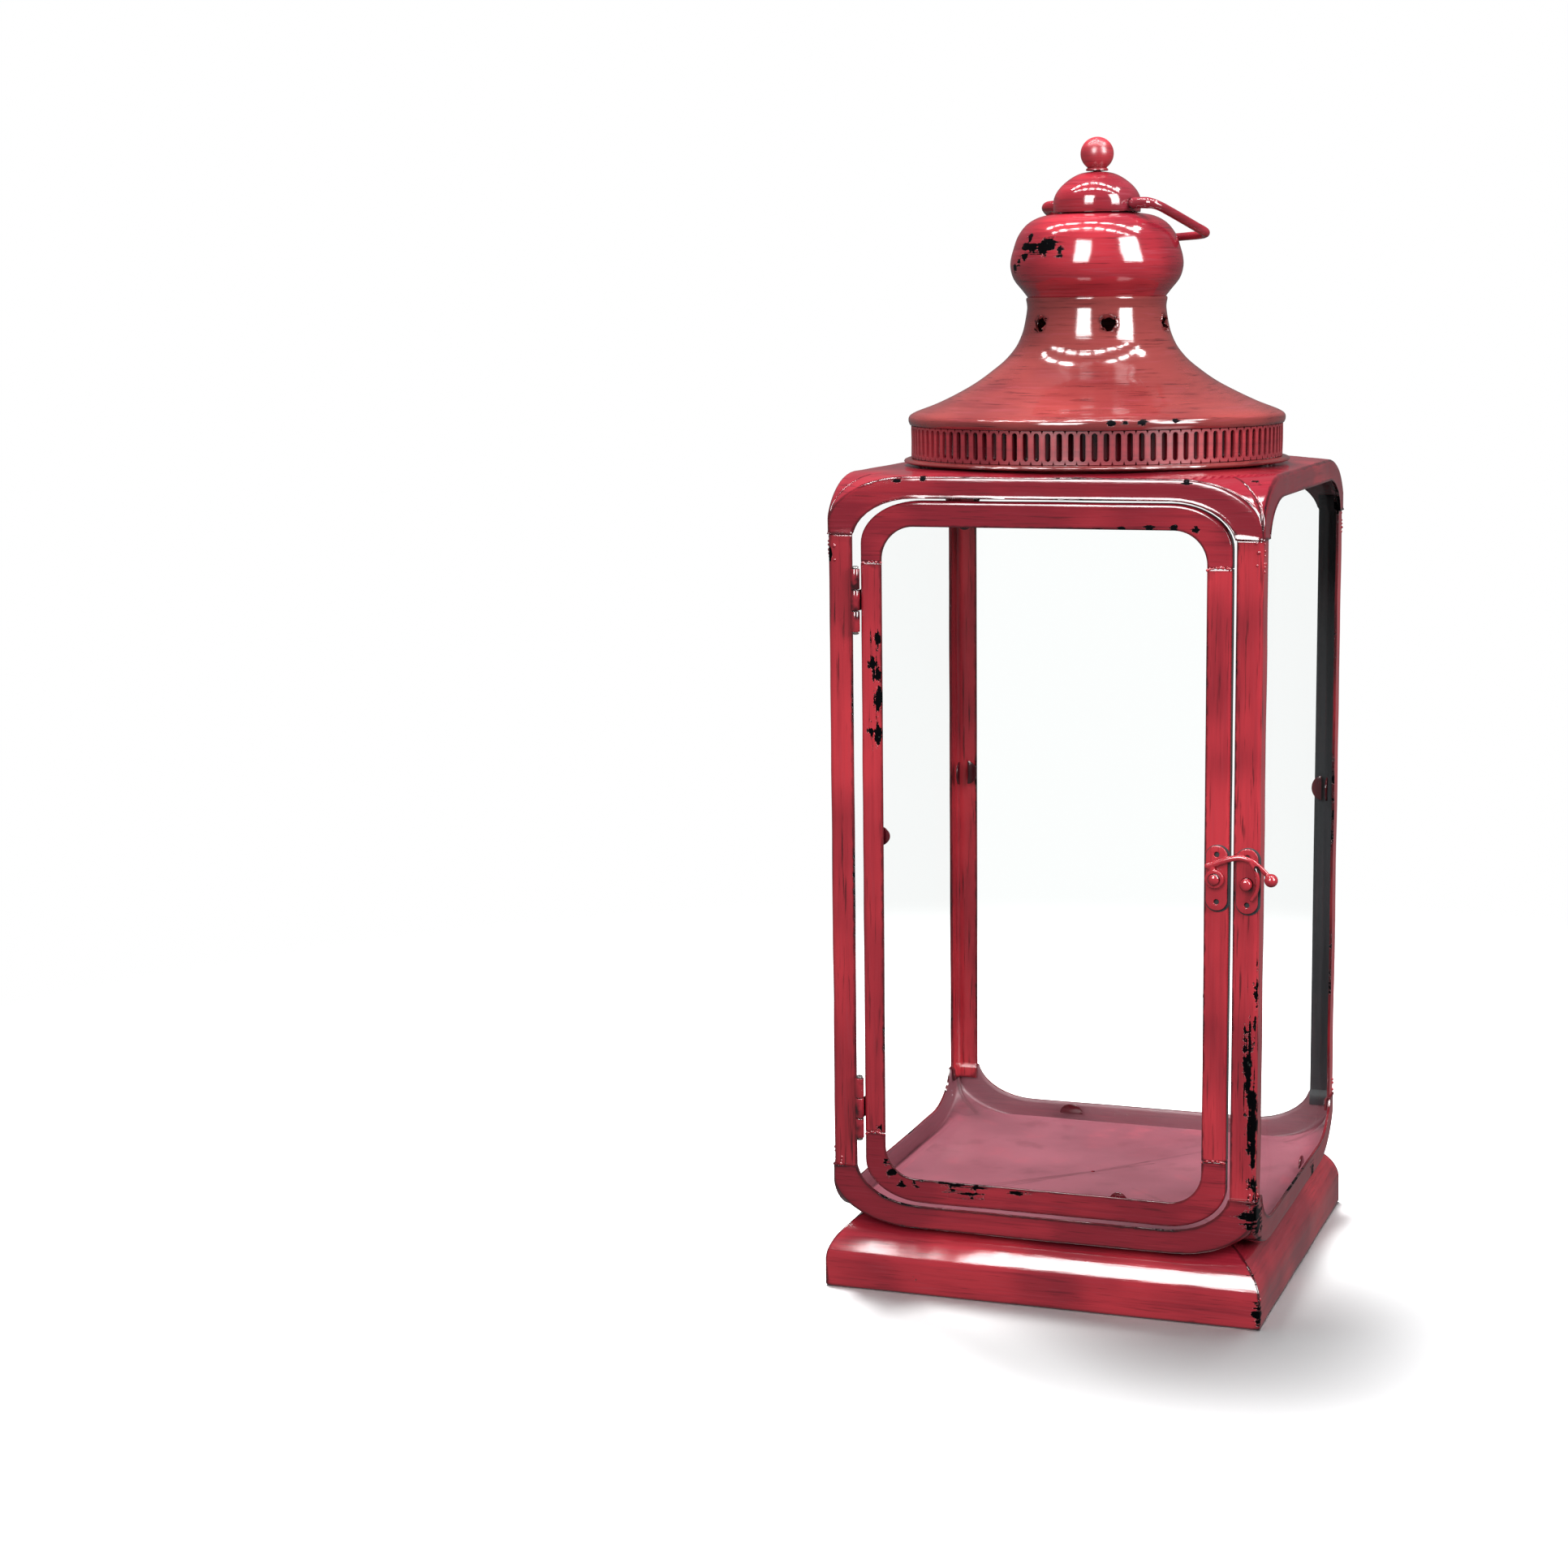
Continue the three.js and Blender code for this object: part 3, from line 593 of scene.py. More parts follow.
def smooth_line(points, steps):
    """A centripetal Catmull-Rom line through points, with `steps` parts between neighbours."""
    line = []
    knots = [Vector((*p, 0)) if len(p) == 2 else Vector(p) for p in points]
    padded = [2 * knots[0] - knots[1], *knots, 2 * knots[-1] - knots[-2]]
    for k in range(1, len(padded) - 2):
        p0, p1, p2, p3 = padded[k - 1:k + 3]
        t1 = (p1 - p0).length ** 0.5
        t2 = t1 + (p2 - p1).length ** 0.5
        t3 = t2 + (p3 - p2).length ** 0.5
        for step in range(steps):
            t = t1 + (t2 - t1) * step / steps
            a1 = p0.lerp(p1, t / t1)
            a2 = p1.lerp(p2, (t - t1) / (t2 - t1))
            a3 = p2.lerp(p3, (t - t2) / (t3 - t2))
            b1 = a1.lerp(a2, t / t2)
            b2 = a2.lerp(a3, (t - t1) / (t3 - t1))
            line.append(b1.lerp(b2, (t - t1) / (t2 - t1)))
    return [*line, knots[-1]]


def circle(x, z, radius, count):
    angles = [2 * math.pi * k / count for k in range(count)]
    return [(x + radius * math.cos(angle), z + radius * math.sin(angle)) for angle in angles]


def quarter_turned(point, quarters):
    x, y, z = point
    for _ in range(quarters % 4):
        x, y = -y, x
    return x, y, z


def sweep_rows(line, radius, sides, depth=1.0, taper=None):
    """Rings round a line in space. depth flattens them along Y, and the ends are rounded off."""
    rows = []
    normal = Vector((0, 1, 0))
    count = len(line)
    for k, centre in enumerate(line):
        along = (line[min(k + 1, count - 1)] - line[max(k - 1, 0)]).normalized()
        normal = (normal - along * normal.dot(along)).normalized()
        side = along.cross(normal)
        size = radius * (taper(k / (count - 1), centre) if taper else 1)
        ring = []
        for j in range(sides + 1):
            angle = 2 * math.pi * j / sides
            ring.append(centre + side * size * math.cos(angle) + normal * size * depth * math.sin(angle))
        rows.append(ring)
    for first in (True, False):
        centre = line[0] if first else line[-1]
        nearby = line[1] if first else line[-2]
        along = (centre - nearby).normalized()
        ring = rows[0] if first else rows[-1]
        caps = []
        for angle in (30, 60, 85):
            scale = math.cos(math.radians(angle))
            lift = along * radius * 0.7 * math.sin(math.radians(angle))
            caps.append([centre + (p - centre) * scale + lift for p in ring])
        tip = [centre + along * radius * 0.7 for _ in ring]
        rows = [tip, *reversed(caps), *rows] if first else [*rows, *caps, tip]
    return rows


def joined(parts):
    """The points and faces of several parts as one part."""
    points, faces = [], []
    for part_points, part_faces in parts:
        start = len(points)
        points += part_points
        faces += [tuple(start + v for v in face) for face in part_faces]
    return points, faces


def closed_piece(name, parts, material, body, nodes=None, bevel=0.0):
    """A piece of one or more closed solids. It replaces the node of its own name unless nodes says others."""
    obj = mesh_object(name, *joined(parts))
    clean(obj, SOLID_DOUBLES, SLIVERS)
    finish_piece(obj, material, body, (name,) if nodes is None else nodes, bevel=bevel)


def melt(obj, voxel, factor, rounds):
    """Melts a piece's parts into one skin and softens it."""
    fuse = obj.modifiers.new("melt", "REMESH")
    fuse.mode = "VOXEL"
    fuse.voxel_size = voxel * MM
    soften = obj.modifiers.new("soften", "SMOOTH")
    soften.factor = factor
    soften.iterations = rounds
    baked(obj)


def turned_solid(section, sides):
    """A closed section turned round Z: the section starts and ends on the axis, or closes on itself."""
    rows = []
    for k in range(sides):
        angle = 2 * math.pi * k / sides
        rows.append([(r * math.cos(angle), r * math.sin(angle), z) for r, z in section])
    return lattice(rows, wrap=True)


def moved(part, change):
    """A part with each of its points passed through a function."""
    points, faces = part
    return [change(*p) for p in points], faces


def soft_rectangle(outline, segments=12, out=0.0):
    """Points round a rectangle in X and Z with quarter-ellipse corners, `out` millimetres outside it."""
    x0, x1 = outline["x0"] - out, outline["x1"] + out
    z0, z1 = outline["z0"] - out, outline["z1"] + out
    a, b = outline["a"] + out, outline["b"] + out
    points = []
    corners = ((x1 - a, z0 + b), (x1 - a, z1 - b), (x0 + a, z1 - b), (x0 + a, z0 + b))
    for (cx, cz), start in zip(corners, (-90, 0, 90, 180)):
        for k in range(segments + 1):
            angle = math.radians(start + 90 * k / segments)
            points.append((cx + a * math.cos(angle), cz + b * math.sin(angle)))
    return points


def flat_plate(name, outlines, back, thick, edge=0.3):
    """A plate in X and Z with soft edges, cut from an outline with holes, that comes forward from back."""
    curve = bpy.data.curves.new(name, "CURVE")
    curve.dimensions = "2D"
    curve.fill_mode = "BOTH"
    curve.extrude = (thick / 2 - edge) * MM
    curve.bevel_depth = edge * MM
    curve.bevel_resolution = 2
    curve.offset = -edge * MM
    for outline in outlines:
        spline = curve.splines.new("POLY")
        spline.points.add(len(outline) - 1)
        for point, (x, z) in zip(spline.points, outline):
            point.co = (x * MM, z * MM, 0, 1)
        spline.use_cyclic_u = True
    obj = bpy.data.objects.new(name, curve)
    bpy.context.scene.collection.objects.link(obj)
    bpy.context.view_layer.update()
    mesh = bpy.data.meshes.new_from_object(obj.evaluated_get(bpy.context.evaluated_depsgraph_get()))
    bpy.data.objects.remove(obj)
    # the curve lies in X and Y with its front towards +Z; stand it up so that its front is -Y
    mesh.transform(Matrix.Translation((0, (back - thick / 2) * MM, 0)) @ Matrix.Rotation(math.pi / 2, 4, "X"))
    plate = bpy.data.objects.new(name, mesh)
    bpy.context.scene.collection.objects.link(plate)
    clean(plate, PLATE_DOUBLES)
    return plate


# ---- materials ------------------------------------------------------------------------------------

ALONG_Z = (260, 260, 11)
ROUND_Z = (15, 15, 380)

stile_knocks = [
    ((-75.5, -99.5, 306), 3.6, (1, 1, 1.6)), ((-78.5, -99.5, 295), 4), ((-76.5, -99.5, 290),
    3.6, (1, 1, 1.5)),
    ((-75.5, -99.5, 279), 3.6, (1, 1, 2.2)), ((-76, -99.5, 264), 4, (1, 1, 2.2)), ((-79, -99.5, 264), 3),
]

enamel_post = enamel("enamel_post", ALONG_Z, [
    ((99.5, -99, 150), 3, (1, 1, 9)), ((98.5, -99.5, 95), 4, (1, 1, 9)), ((95.5, -99.5, 120),
    2.4, (1, 1, 12)),
    ((99, -99, 66), 6), ((98, -100, 56), 6), ((-99, -99.5, 345), 3),
], deep=0.7)
# the roof and pan, like the rails, are set a darker red than the posts and stiles
enamel_body = enamel("enamel_body", ROUND_Z, [
    ((100, -95, 62), 7), ((100, -97, 52), 9), ((99, -93, 46), 8), ((97, -90, 42), 7),
    ((-66, -99, 378), 3), ((-54, -99, 379), 3), ((92, -84, 374), 5), ((95, -80, 372), 4),
    ((66, -99, 378), 2.5), ((99.5, 40, 34), 6), ((60, 99.5, 380), 7), ((-99, 20, 40), 7),
], dark=0.65, deep=0.4)
enamel_door = enamel("enamel_door", ALONG_Z, [*stile_knocks, ((-76, -99.5, 78), 2.5)], deep=0.5)
# the rails are set a darker red than the stiles beside them
enamel_rail = enamel("enamel_rail", ROUND_Z, [
    ((49, -99.5, 358.5), 2.2), ((60, -99.5, 358.5), 2.5), ((70, -99.5, 357.5), 2.5), ((37, -99.5, 358), 2),
    ((-73, -99.5, 62), 4), ((-71, -99.5, 57), 3), ((-66, -99.5, 52), 3), ((-60, -99.5, 53), 3),
    ((-42, -99.5, 53.5), 4.2, (2.4, 1, 1)), ((-31, -99.5, 52), 3.6, (2, 1, 1)), ((-10, -99.5, 52),
    2, (4, 1, 1)),
], dark=0.6, deep=0.45)
enamel_base = enamel("enamel_base", ROUND_Z, [
    ((102, -102, 12), 3.5), ((102, -102, 8), 3), ((102, -102, 4), 3), ((101, -101, 21), 3),
    ((98.5, -98.5, 26), 3),
    ((96, -96, 29), 3),
], wear=0.85, dark=0.4, deep=0.4, rose=0.05)
enamel_bell = enamel("enamel_bell", ROUND_Z, [
    ((27.9, -83.3, 403.3), 2.8), ((34, -81, 403.3), 2.8), ((40.5, -77.9, 403.3), 2.6), ((54, -69, 403.3), 2),
], reds=(BRICK, DARK_BRICK), wear=0.5, deep=0.55, rose=0.12, edge_reach=1.0, gloss=0.06, outline=0.4)
enamel_bulb = enamel("enamel_bulb", ROUND_Z, [
    ((-12.4, -36.1, 482), 4.2), ((-16.3, -35, 480.7), 4.6), ((-7.9, -38.6, 478.5), 3.2),
    ((-21.7, -32.2, 480), 3.8),
    ((-26.2, -28.1, 481.4), 3), ((-26.4, -29.8, 476.5), 3.4), ((-30.2, -26.3, 474), 3.4),
    ((-33, -23, 472.5), 3.2),
    ((-24.2, -28.8, 484.5), 2.8),
], wear=0.6, dark=0.45, deep=0.5, rose=0.22, edge_reach=1.0, gloss=0.06, outline=0.5)
enamel_gallery = enamel("enamel_gallery", ROUND_Z, wear=0.5, dark=0.35, deep=0.3, edge_reach=0.5,
                        gloss=0.36, outline=0.4)
# outline=3 darkens the small parts' edges strongly: painted shade that sets the latch plates off
enamel_small = enamel("enamel_small", ALONG_Z, wear=0.9, dark=0.15, deep=0.4, edge_reach=0.7, outline=3.0)
enamel_satin = enamel("enamel_satin", ROUND_Z, wear=0.5, deep=0.3, rose=0.35, gloss=0.26, outline=0.5)
enamel_clip = enamel("enamel_clip", ALONG_Z, wear=0.6, dark=0.7, deep=0.6, edge_reach=0.6)
enamel_floor = enamel("enamel_floor", ROUND_Z, reds=(MAUVE, DARK_MAUVE), wear=0.4, deep=0.2, rose=0.3,
                      gloss=0.4, outline=0.4)
# painted shadow: the dark material of the plates behind the latch plates
grime = slate_coat("grime")
slate = slate_coat("slate_coat")
steel = bare_steel("bare_steel")
glass = old_glass("old_glass")


# ---- base -----------------------------------------------------------------------------------------


def base_section():
    """The outside of a base side from its turned-in hem up to the flange: distance out, and height."""
    foot = BASE_HALF - HEM_ROUND
    section = [(BASE_HALF - HEM, 0.0), (BASE_HALF - HEM / 2, 0.0), (foot, 0.0)]
    for k in range(1, 5):
        angle = math.radians(90 * k / 4)
        section.append((foot + HEM_ROUND * math.sin(angle), HEM_ROUND - HEM_ROUND * math.cos(angle)))
    section += [(BASE_HALF, z) for z in (3, 6, 9.5, 12.2, 13.6)]
    # the lip folds into the convex flare over a small radius
    start, end = Vector((BASE_HALF, BASE_LIP)), Vector((BASE_NECK, BASE_TOP))
    bend = Vector((BASE_HALF - 2, BASE_LIP + 11.5))
    for k in range(1, 15):
        t = k / 14
        place = start * (1 - t) ** 2 + bend * 2 * t * (1 - t) + end * t * t
        section.append((place.x, place.y))
    section += [(BASE_NECK - inwards, BASE_TOP) for inwards in (1.5, FLANGE / 2, FLANGE)]
    return section


def make_base():
    section = base_section()
    stations = [-1, -0.992, -0.97, -0.93, -0.86, -0.74, -0.6, -0.45, -0.3, -0.15]
    stations = stations + [0] + [-s for s in reversed(stations)]
    for turns, side in enumerate(("front", "right", "back", "left")):
        rows = []
        for s in stations:
            column = [(s * (out - GAP / 2), -out, z) for out, z in section]
            rows.append([quarter_turned(p, turns) for p in column])
        sheet_piece(f"base_panel_{side}", rows, enamel_base, uneven=0.35, uneven_size=38, seed=turns + 1,
                    inside=(0, 0, 15))


# ---- body -----------------------------------------------------------------------------------------


def body_line(half, around_corner_only=False):
    """Places round a square with soft corners: (x, y, way out, distance along the side)."""
    straight = half - CORNER_ROUND
    reach = [0, 8, 16, 24, 32, 40, 47, 53, CURVE_START]
    bends = (10, 20, 30, 40, 50, 60, 68, 75, 81, 86, 90)
    reach += [CURVE_START + CURVE_REACH * math.sin(math.radians(a)) for a in bends]
    reach += [88.4, 89.5, 91.2, 93.4, 95.6, straight]
    if around_corner_only:
        reach = [88, 88.5, 89.6, 91.5, 94, 96, straight]
    places = []
    for side in range(4):
        before = [] if around_corner_only else [-u for u in reversed(reach[1:])]
        for u in before + reach:
            x, y, _ = quarter_turned((u, -half, 0), side)
            nx, ny, _ = quarter_turned((0, -1, 0), side)
            places.append((x, y, (nx, ny), abs(u)))
        for k in range(1, 6):
            angle = math.radians(-90 + 90 * k / 6)
            right, back = CORNER_ROUND * math.cos(angle), CORNER_ROUND * math.sin(angle)
            x, y, _ = quarter_turned((straight + right, -straight + back, 0), side)
            nx, ny, _ = quarter_turned((math.cos(angle), math.sin(angle), 0), side)
            places.append((x, y, (nx, ny), BODY_HALF))
        if around_corner_only:
            for u in reversed(reach):
                x, y, _ = quarter_turned((half, -u, 0), side)
                nx, ny, _ = quarter_turned((1, 0, 0), side)
                places.append((x, y, (nx, ny), u))
            return places
    return places


def corner_sweep(x, y):
    """How far a corner is bent down at a place: the bend runs straight across the corner."""
    along = abs(x) + abs(y) - (2 * BODY_HALF - CORNER_RUN)
    u = ramp(along / CORNER_RUN)
    return CORNER_DROP * (1 - math.sqrt(1 - u * u))


def roof_height(x, y):
    crown = PILLOW * (1 - (x / BODY_HALF) ** 2) * (1 - (y / BODY_HALF) ** 2)
    return BODY_TOP + crown - corner_sweep(x, y)


def pan_height(x, y):
    inward = ramp((BODY_HALF - max(abs(x), abs(y))) / LIFT_RUN)
    return BODY_BOTTOM + FLOOR_LIFT * inward * inward * (3 - 2 * inward) + corner_sweep(x, y)


def opening_curve(u):
    """How far the opening's edge has turned from its straight part, 0 to 1, at a distance along a side."""
    t = ramp((u - CURVE_START) / OPENING["a"])
    return math.sqrt(1 - t * t)


def skirt_edge_roof(u):
    if u > LEVEL_FROM:
        return ROOF_EDGE
    return max(ROOF_EDGE, OPENING["z1"] - OPENING["b"] * (1 - opening_curve(u)))


def skirt_edge_pan(u):
    if u > LEVEL_FROM:
        return PAN_TOP
    return min(PAN_TOP, OPENING["z0"] + OPENING["b"] * (1 - opening_curve(u)))


# How far in from the fold to the hole each point of a face lies: close together near the fold.
FACE_STEPS = (0.006, 0.015, 0.028, 0.045, 0.07, 0.1, 0.14, 0.19, 0.25, 0.32, 0.4, 0.5, 0.62, 0.75, 0.88, 1)


def shell_rows(edge, height, hole, up):
    """Columns of a roof or pan: up the skirt, over the fold and in across its face to a round hole."""
    rows = []
    places = body_line(BODY_HALF)
    first = math.atan2(places[0][1], places[0][0])
    for k, (x, y, (nx, ny), u) in enumerate(places):
        grow = BODY_HALF / max(abs(x), abs(y))
        angle = first + 2 * math.pi * k / len(places)
        cx, cy = hole * math.cos(angle), hole * math.sin(angle)
        rim = height(x * grow, y * grow)
        start, end = edge(u), rim - up * FOLD
        column = []
        for f, curl in ((0, 0.4), (0.04, 0.45), (0.09, 0.1), (0.2, 0), (0.5, 0), (0.8, 0), (1, 0)):
            column.append((x + nx * curl, y + ny * curl, start + (end - start) * f))
        for bend in (25, 50, 72, 90):
            inward = FOLD * (1 - math.cos(math.radians(bend)))
            px, py = x - nx * inward, y - ny * inward
            drop = FOLD * (1 - math.sin(math.radians(bend)))
            column.append((px, py, height(px * grow, py * grow) - up * drop))
        ix, iy = x - nx * FOLD, y - ny * FOLD
        for t in FACE_STEPS:
            px, py = ix + (cx - ix) * t, iy + (cy - iy) * t
            blend = grow + (1 - grow) * t
            column.append((px, py, height(px * blend, py * blend)))
        rows.append(column)
    return rows


def make_body():
    roof = shell_rows(skirt_edge_roof, roof_height, ROOF_HOLE, 1)
    sheet_piece("roof_shell", roof, enamel_body, wrap=True, uneven=0.3, uneven_size=30, seed=4,
                inside=(0, 0, 300), ridge=8)
    pan = shell_rows(skirt_edge_pan, pan_height, 1.0, -1)
    sheet_piece("body_pan", pan, enamel_body, wrap=True, uneven=0.25, uneven_size=34, seed=9,
                inside=(0, 0, 120), ridge=8, inner=enamel_floor)
    levels = [PAN_TOP - 7, PAN_TOP - 1.6, PAN_TOP + 0.2]
    levels += [PAN_TOP + 1.2 + (ROOF_EDGE - PAN_TOP - 2.4) * k / 30 for k in range(31)]
    levels += [ROOF_EDGE - 0.2, ROOF_EDGE + 1.6, ROOF_EDGE + 7]
    for turns, corner in enumerate(("front_right", "rear_right", "rear_left", "front_left")):
        rows = []
        for x, y, (nx, ny), _ in body_line(POST_FACE, True):
            column = []
            for z in levels:
                tucked = 1.15 if z < PAN_TOP or z > ROOF_EDGE else 0.0
                column.append(quarter_turned((x - nx * tucked, y - ny * tucked, z), turns))
            rows.append(column)
        sheet_piece(f"corner_post_{corner}", rows, enamel_post, uneven=0.22, uneven_size=26, seed=20 + turns,
                    inner=slate if corner == "rear_right" else None)


# ---- glazing and clips ----------------------------------------------------------------------------

PANE_BACK = GAP + SHEET + GLASS - POST_FACE
DOOR_PANE_BACK = 1.4 + GAP + GLASS - DOOR_FACE


def make_panes():
    for turns, side in enumerate(("front", "right", "back", "left")):
        if turns:
            name, outline, back, body = f"glass_{side}", PANE, PANE_BACK, "lantern"
        else:
            name, outline, back, body = "door_glass", DOOR_PANE, DOOR_PANE_BACK, "door"
        pane = flat_plate(name, [soft_rectangle(outline)], back, GLASS)
        pane.data.transform(Matrix.Rotation(turns * math.pi / 2, 4, "Z"))
        finish_piece(pane, glass, body, (name,))


def clip_tree():
    """Half-moon tabs, one on each point: half a disc is sized, given thickness and turned over the pane."""
    tree = Group("pane_clips", [("Half Width", "Float", 6 * MM), ("Reach", "Float", 5 * MM),
                                ("Thickness", "Float", CLIP_THICK * MM)])
    arc = tree.node("GeometryNodeCurveArc", None, {
        "Resolution": 25, "Radius": 1.0, "Start Angle": 0.0, "Sweep Angle": math.pi, "Connect Center": True})
    half_disc = tree.node("GeometryNodeFillCurve", {"mode": "NGONS"}, {"Curve": arc.outputs["Curve"]})
    size = tree.node("ShaderNodeCombineXYZ", None, {
        "X": tree.given["Half Width"], "Y": tree.given["Reach"], "Z": 1.0})
    shape = tree.node("GeometryNodeTransform", None, {
        "Geometry": half_disc.outputs["Mesh"], "Scale": size.outputs[0]}).outputs[0]
    front = tree.node("GeometryNodeExtrudeMesh", None, {
        "Mesh": shape, "Offset Scale": tree.given["Thickness"], "Individual": False})
    back = tree.node("GeometryNodeFlipFaces", None, {"Mesh": shape})
    both = tree.node("GeometryNodeJoinGeometry", None, {0: back.outputs[0]})
    tree.feed(both.inputs[0], front.outputs["Mesh"])
    turn = tree.node("GeometryNodeInputNamedAttribute", {"data_type": "FLOAT_VECTOR"}, {"Name": "turn"})
    spread = tree.node("GeometryNodeInstanceOnPoints", None, {
        "Points": tree.given["Geometry"], "Instance": both.outputs[0], "Rotation": turn.outputs["Attribute"]})
    return tree.done(spread.outputs[0])


def make_clips(name, panes, body, reach):
    """All the clips of one body. panes lists (outline, back, quarter turns, side, places)."""
    spots, turns, nodes = [], [], []
    for outline, back, quarters, side, (bottom, top, left, right) in panes:
        lift = GAP + CLIP_THICK
        edges = {
            "bottom": (bottom, outline["z0"] - lift, 0),
            "top": (top, outline["z1"] + lift, 180),
            "left": (outline["x0"] - lift, left, 90),
            "right": (outline["x1"] + lift, right, -90),
        }
        for edge, (x, z, spin) in edges.items():
            spots.append(quarter_turned((x, back + GAP + CLIP_THICK, z), quarters))
            side_turn = Matrix.Rotation(quarters * math.pi / 2, 3, "Z")
            edge_turn = Matrix.Rotation(math.radians(spin), 3, "Y")
            turns.append((side_turn @ edge_turn @ Matrix.Rotation(math.pi / 2, 3, "X")).to_euler())
            nodes.append(f"clip_{side}_{edge}")
    obj = mesh_object(name, spots, [])
    attribute = obj.data.attributes.new("turn", "FLOAT_VECTOR", "POINT")
    attribute.data.foreach_set("vector", [c for t in turns for c in t])
    grow(obj, clip_tree(), {"Reach": reach * MM, "Material": enamel_clip})
    clean(obj, SOLID_DOUBLES)
    finish_piece(obj, enamel_clip, body, nodes, bevel=0.2)


def grow(obj, tree, values):
    """Runs Geometry Nodes on an object with values for their named inputs, and keeps the mesh they make."""
    modifier = obj.modifiers.new(tree.name, "NODES")
    modifier.node_group = tree
    for item in tree.interface.items_tree:
        if item.in_out == "INPUT" and item.name in values:
            modifier[item.identifier] = values[item.name]
    baked(obj)


# ---- door -----------------------------------------------------------------------------------------


def door_places(which):
    """Pairs of (outer, inner) places along one part of the door, as functions of an inset from each edge."""
    low, high = DOOR_JOINTS

    def corner(outline, right, upper, angle, out):
        a, b = outline["a"] + out, outline["b"] + out
        cx = outline["x1"] - outline["a"] if right else outline["x0"] + outline["a"]
        cz = outline["z1"] - outline["b"] if upper else outline["z0"] + outline["b"]
        return cx + a * math.cos(angle), cz + b * math.sin(angle)

    def corner_place(right, upper, degrees):
        angle = math.radians(degrees)
        return (lambda out: corner(DOOR, right, upper, angle, out),
                lambda out: corner(WINDOW, right, upper, angle, out))

    def side_place(right, z):
        edge = "x1" if right else "x0"
        sign = 1 if right else -1
        return (lambda out: (DOOR[edge] + sign * out, z), lambda out: (WINDOW[edge] + sign * out, z))

    def rail_place(upper, f):
        edge = "z1" if upper else "z0"
        sign = 1 if upper else -1

        def along(outline, out):
            x0, x1 = outline["x0"] + outline["a"], outline["x1"] - outline["a"]
            return x0 + (x1 - x0) * f, outline[edge] + sign * out
        return lambda out: along(DOOR, out), lambda out: along(WINDOW, out)

    if which == "bottom_rail":
        places = [side_place(False, low), side_place(False, low - 1)]
        places += [corner_place(False, False, a) for a in np.linspace(180, 270, 17)]
        places += [rail_place(False, f) for f in np.linspace(0.04, 0.96, 24)]
        places += [corner_place(True, False, a) for a in np.linspace(-90, 0, 17)]
        return places + [side_place(True, low - 1), side_place(True, low)]
    if which == "top_rail":
        places = [side_place(True, high), side_place(True, high + 0.6)]
        places += [corner_place(True, True, a) for a in np.linspace(0, 90, 17)]
        places += [rail_place(True, f) for f in np.linspace(0.96, 0.04, 24)]
        places += [corner_place(False, True, a) for a in np.linspace(90, 180, 17)]
        return places + [side_place(False, high + 0.6), side_place(False, high)]
    right = which == "right_stile"
    span = np.linspace(low + GAP + 1, high - GAP - 1, 34)
    return [side_place(right, z) for z in (low + GAP, *span, high - GAP)]


def make_door():
    fold = 1.5
    for index, which in enumerate(("bottom_rail", "top_rail", "left_stile", "right_stile")):
        rows = []
        for outer, inner in door_places(which):
            column = []
            for out in (0, 0.5, 1.6, 3.4):
                x, z = inner(out)
                column.append((x, -DOOR_FACE, z))
            for out in (-3.2, -2.2, -fold):
                x, z = outer(out)
                column.append((x, -DOOR_FACE, z))
            for angle in (22, 45, 68, 90):
                x, z = outer(-fold + fold * math.sin(math.radians(angle)))
                column.append((x, -DOOR_FACE + fold * (1 - math.cos(math.radians(angle))), z))
            x, z = outer(0)
            column += [(x, -DOOR_FACE + depth, z) for depth in (2.4, 4, 5, DOOR_DEPTH)]
            rows.append(column)
        rail = which.endswith("rail")
        material = enamel_rail if rail else enamel_door
        sheet_piece(f"door_{which}", rows, material, "door", inside=(0, 0, 205), uneven=0.14, uneven_size=24,
                    seed=40 + index)


# ---- hinges ---------------------------------------------------------------------------------------


def rolled_knuckle(level, index):
    """One third of a hinge barrel, bored for its pin."""
    third = BARREL / 3
    low = level - BARREL / 2 + index * third + GAP / 2
    high = low + third - GAP
    outer, bore, soft = KNUCKLE_RADIUS, 1.1, 0.3
    section = [(bore, low), (outer - soft, low), (outer - 0.1, low + 0.1), (outer, low + soft),
               (outer, high - soft),
               (outer - 0.1, high - 0.1), (outer - soft, high), (bore, high), (bore, low)]
    return moved(turned_solid(section, 28), lambda x, y, z: (x + HINGE_X, y + HINGE_Y, z))


def block(x0, x1, y0, y1, z0, z1):
    points = [(x, y, z) for x in (x0, x1) for y in (y0, y1) for z in (z0, z1)]
    faces = [(0, 1, 3, 2), (4, 6, 7, 5), (0, 4, 5, 1), (2, 3, 7, 6), (0, 2, 6, 4), (1, 5, 7, 3)]
    return points, faces


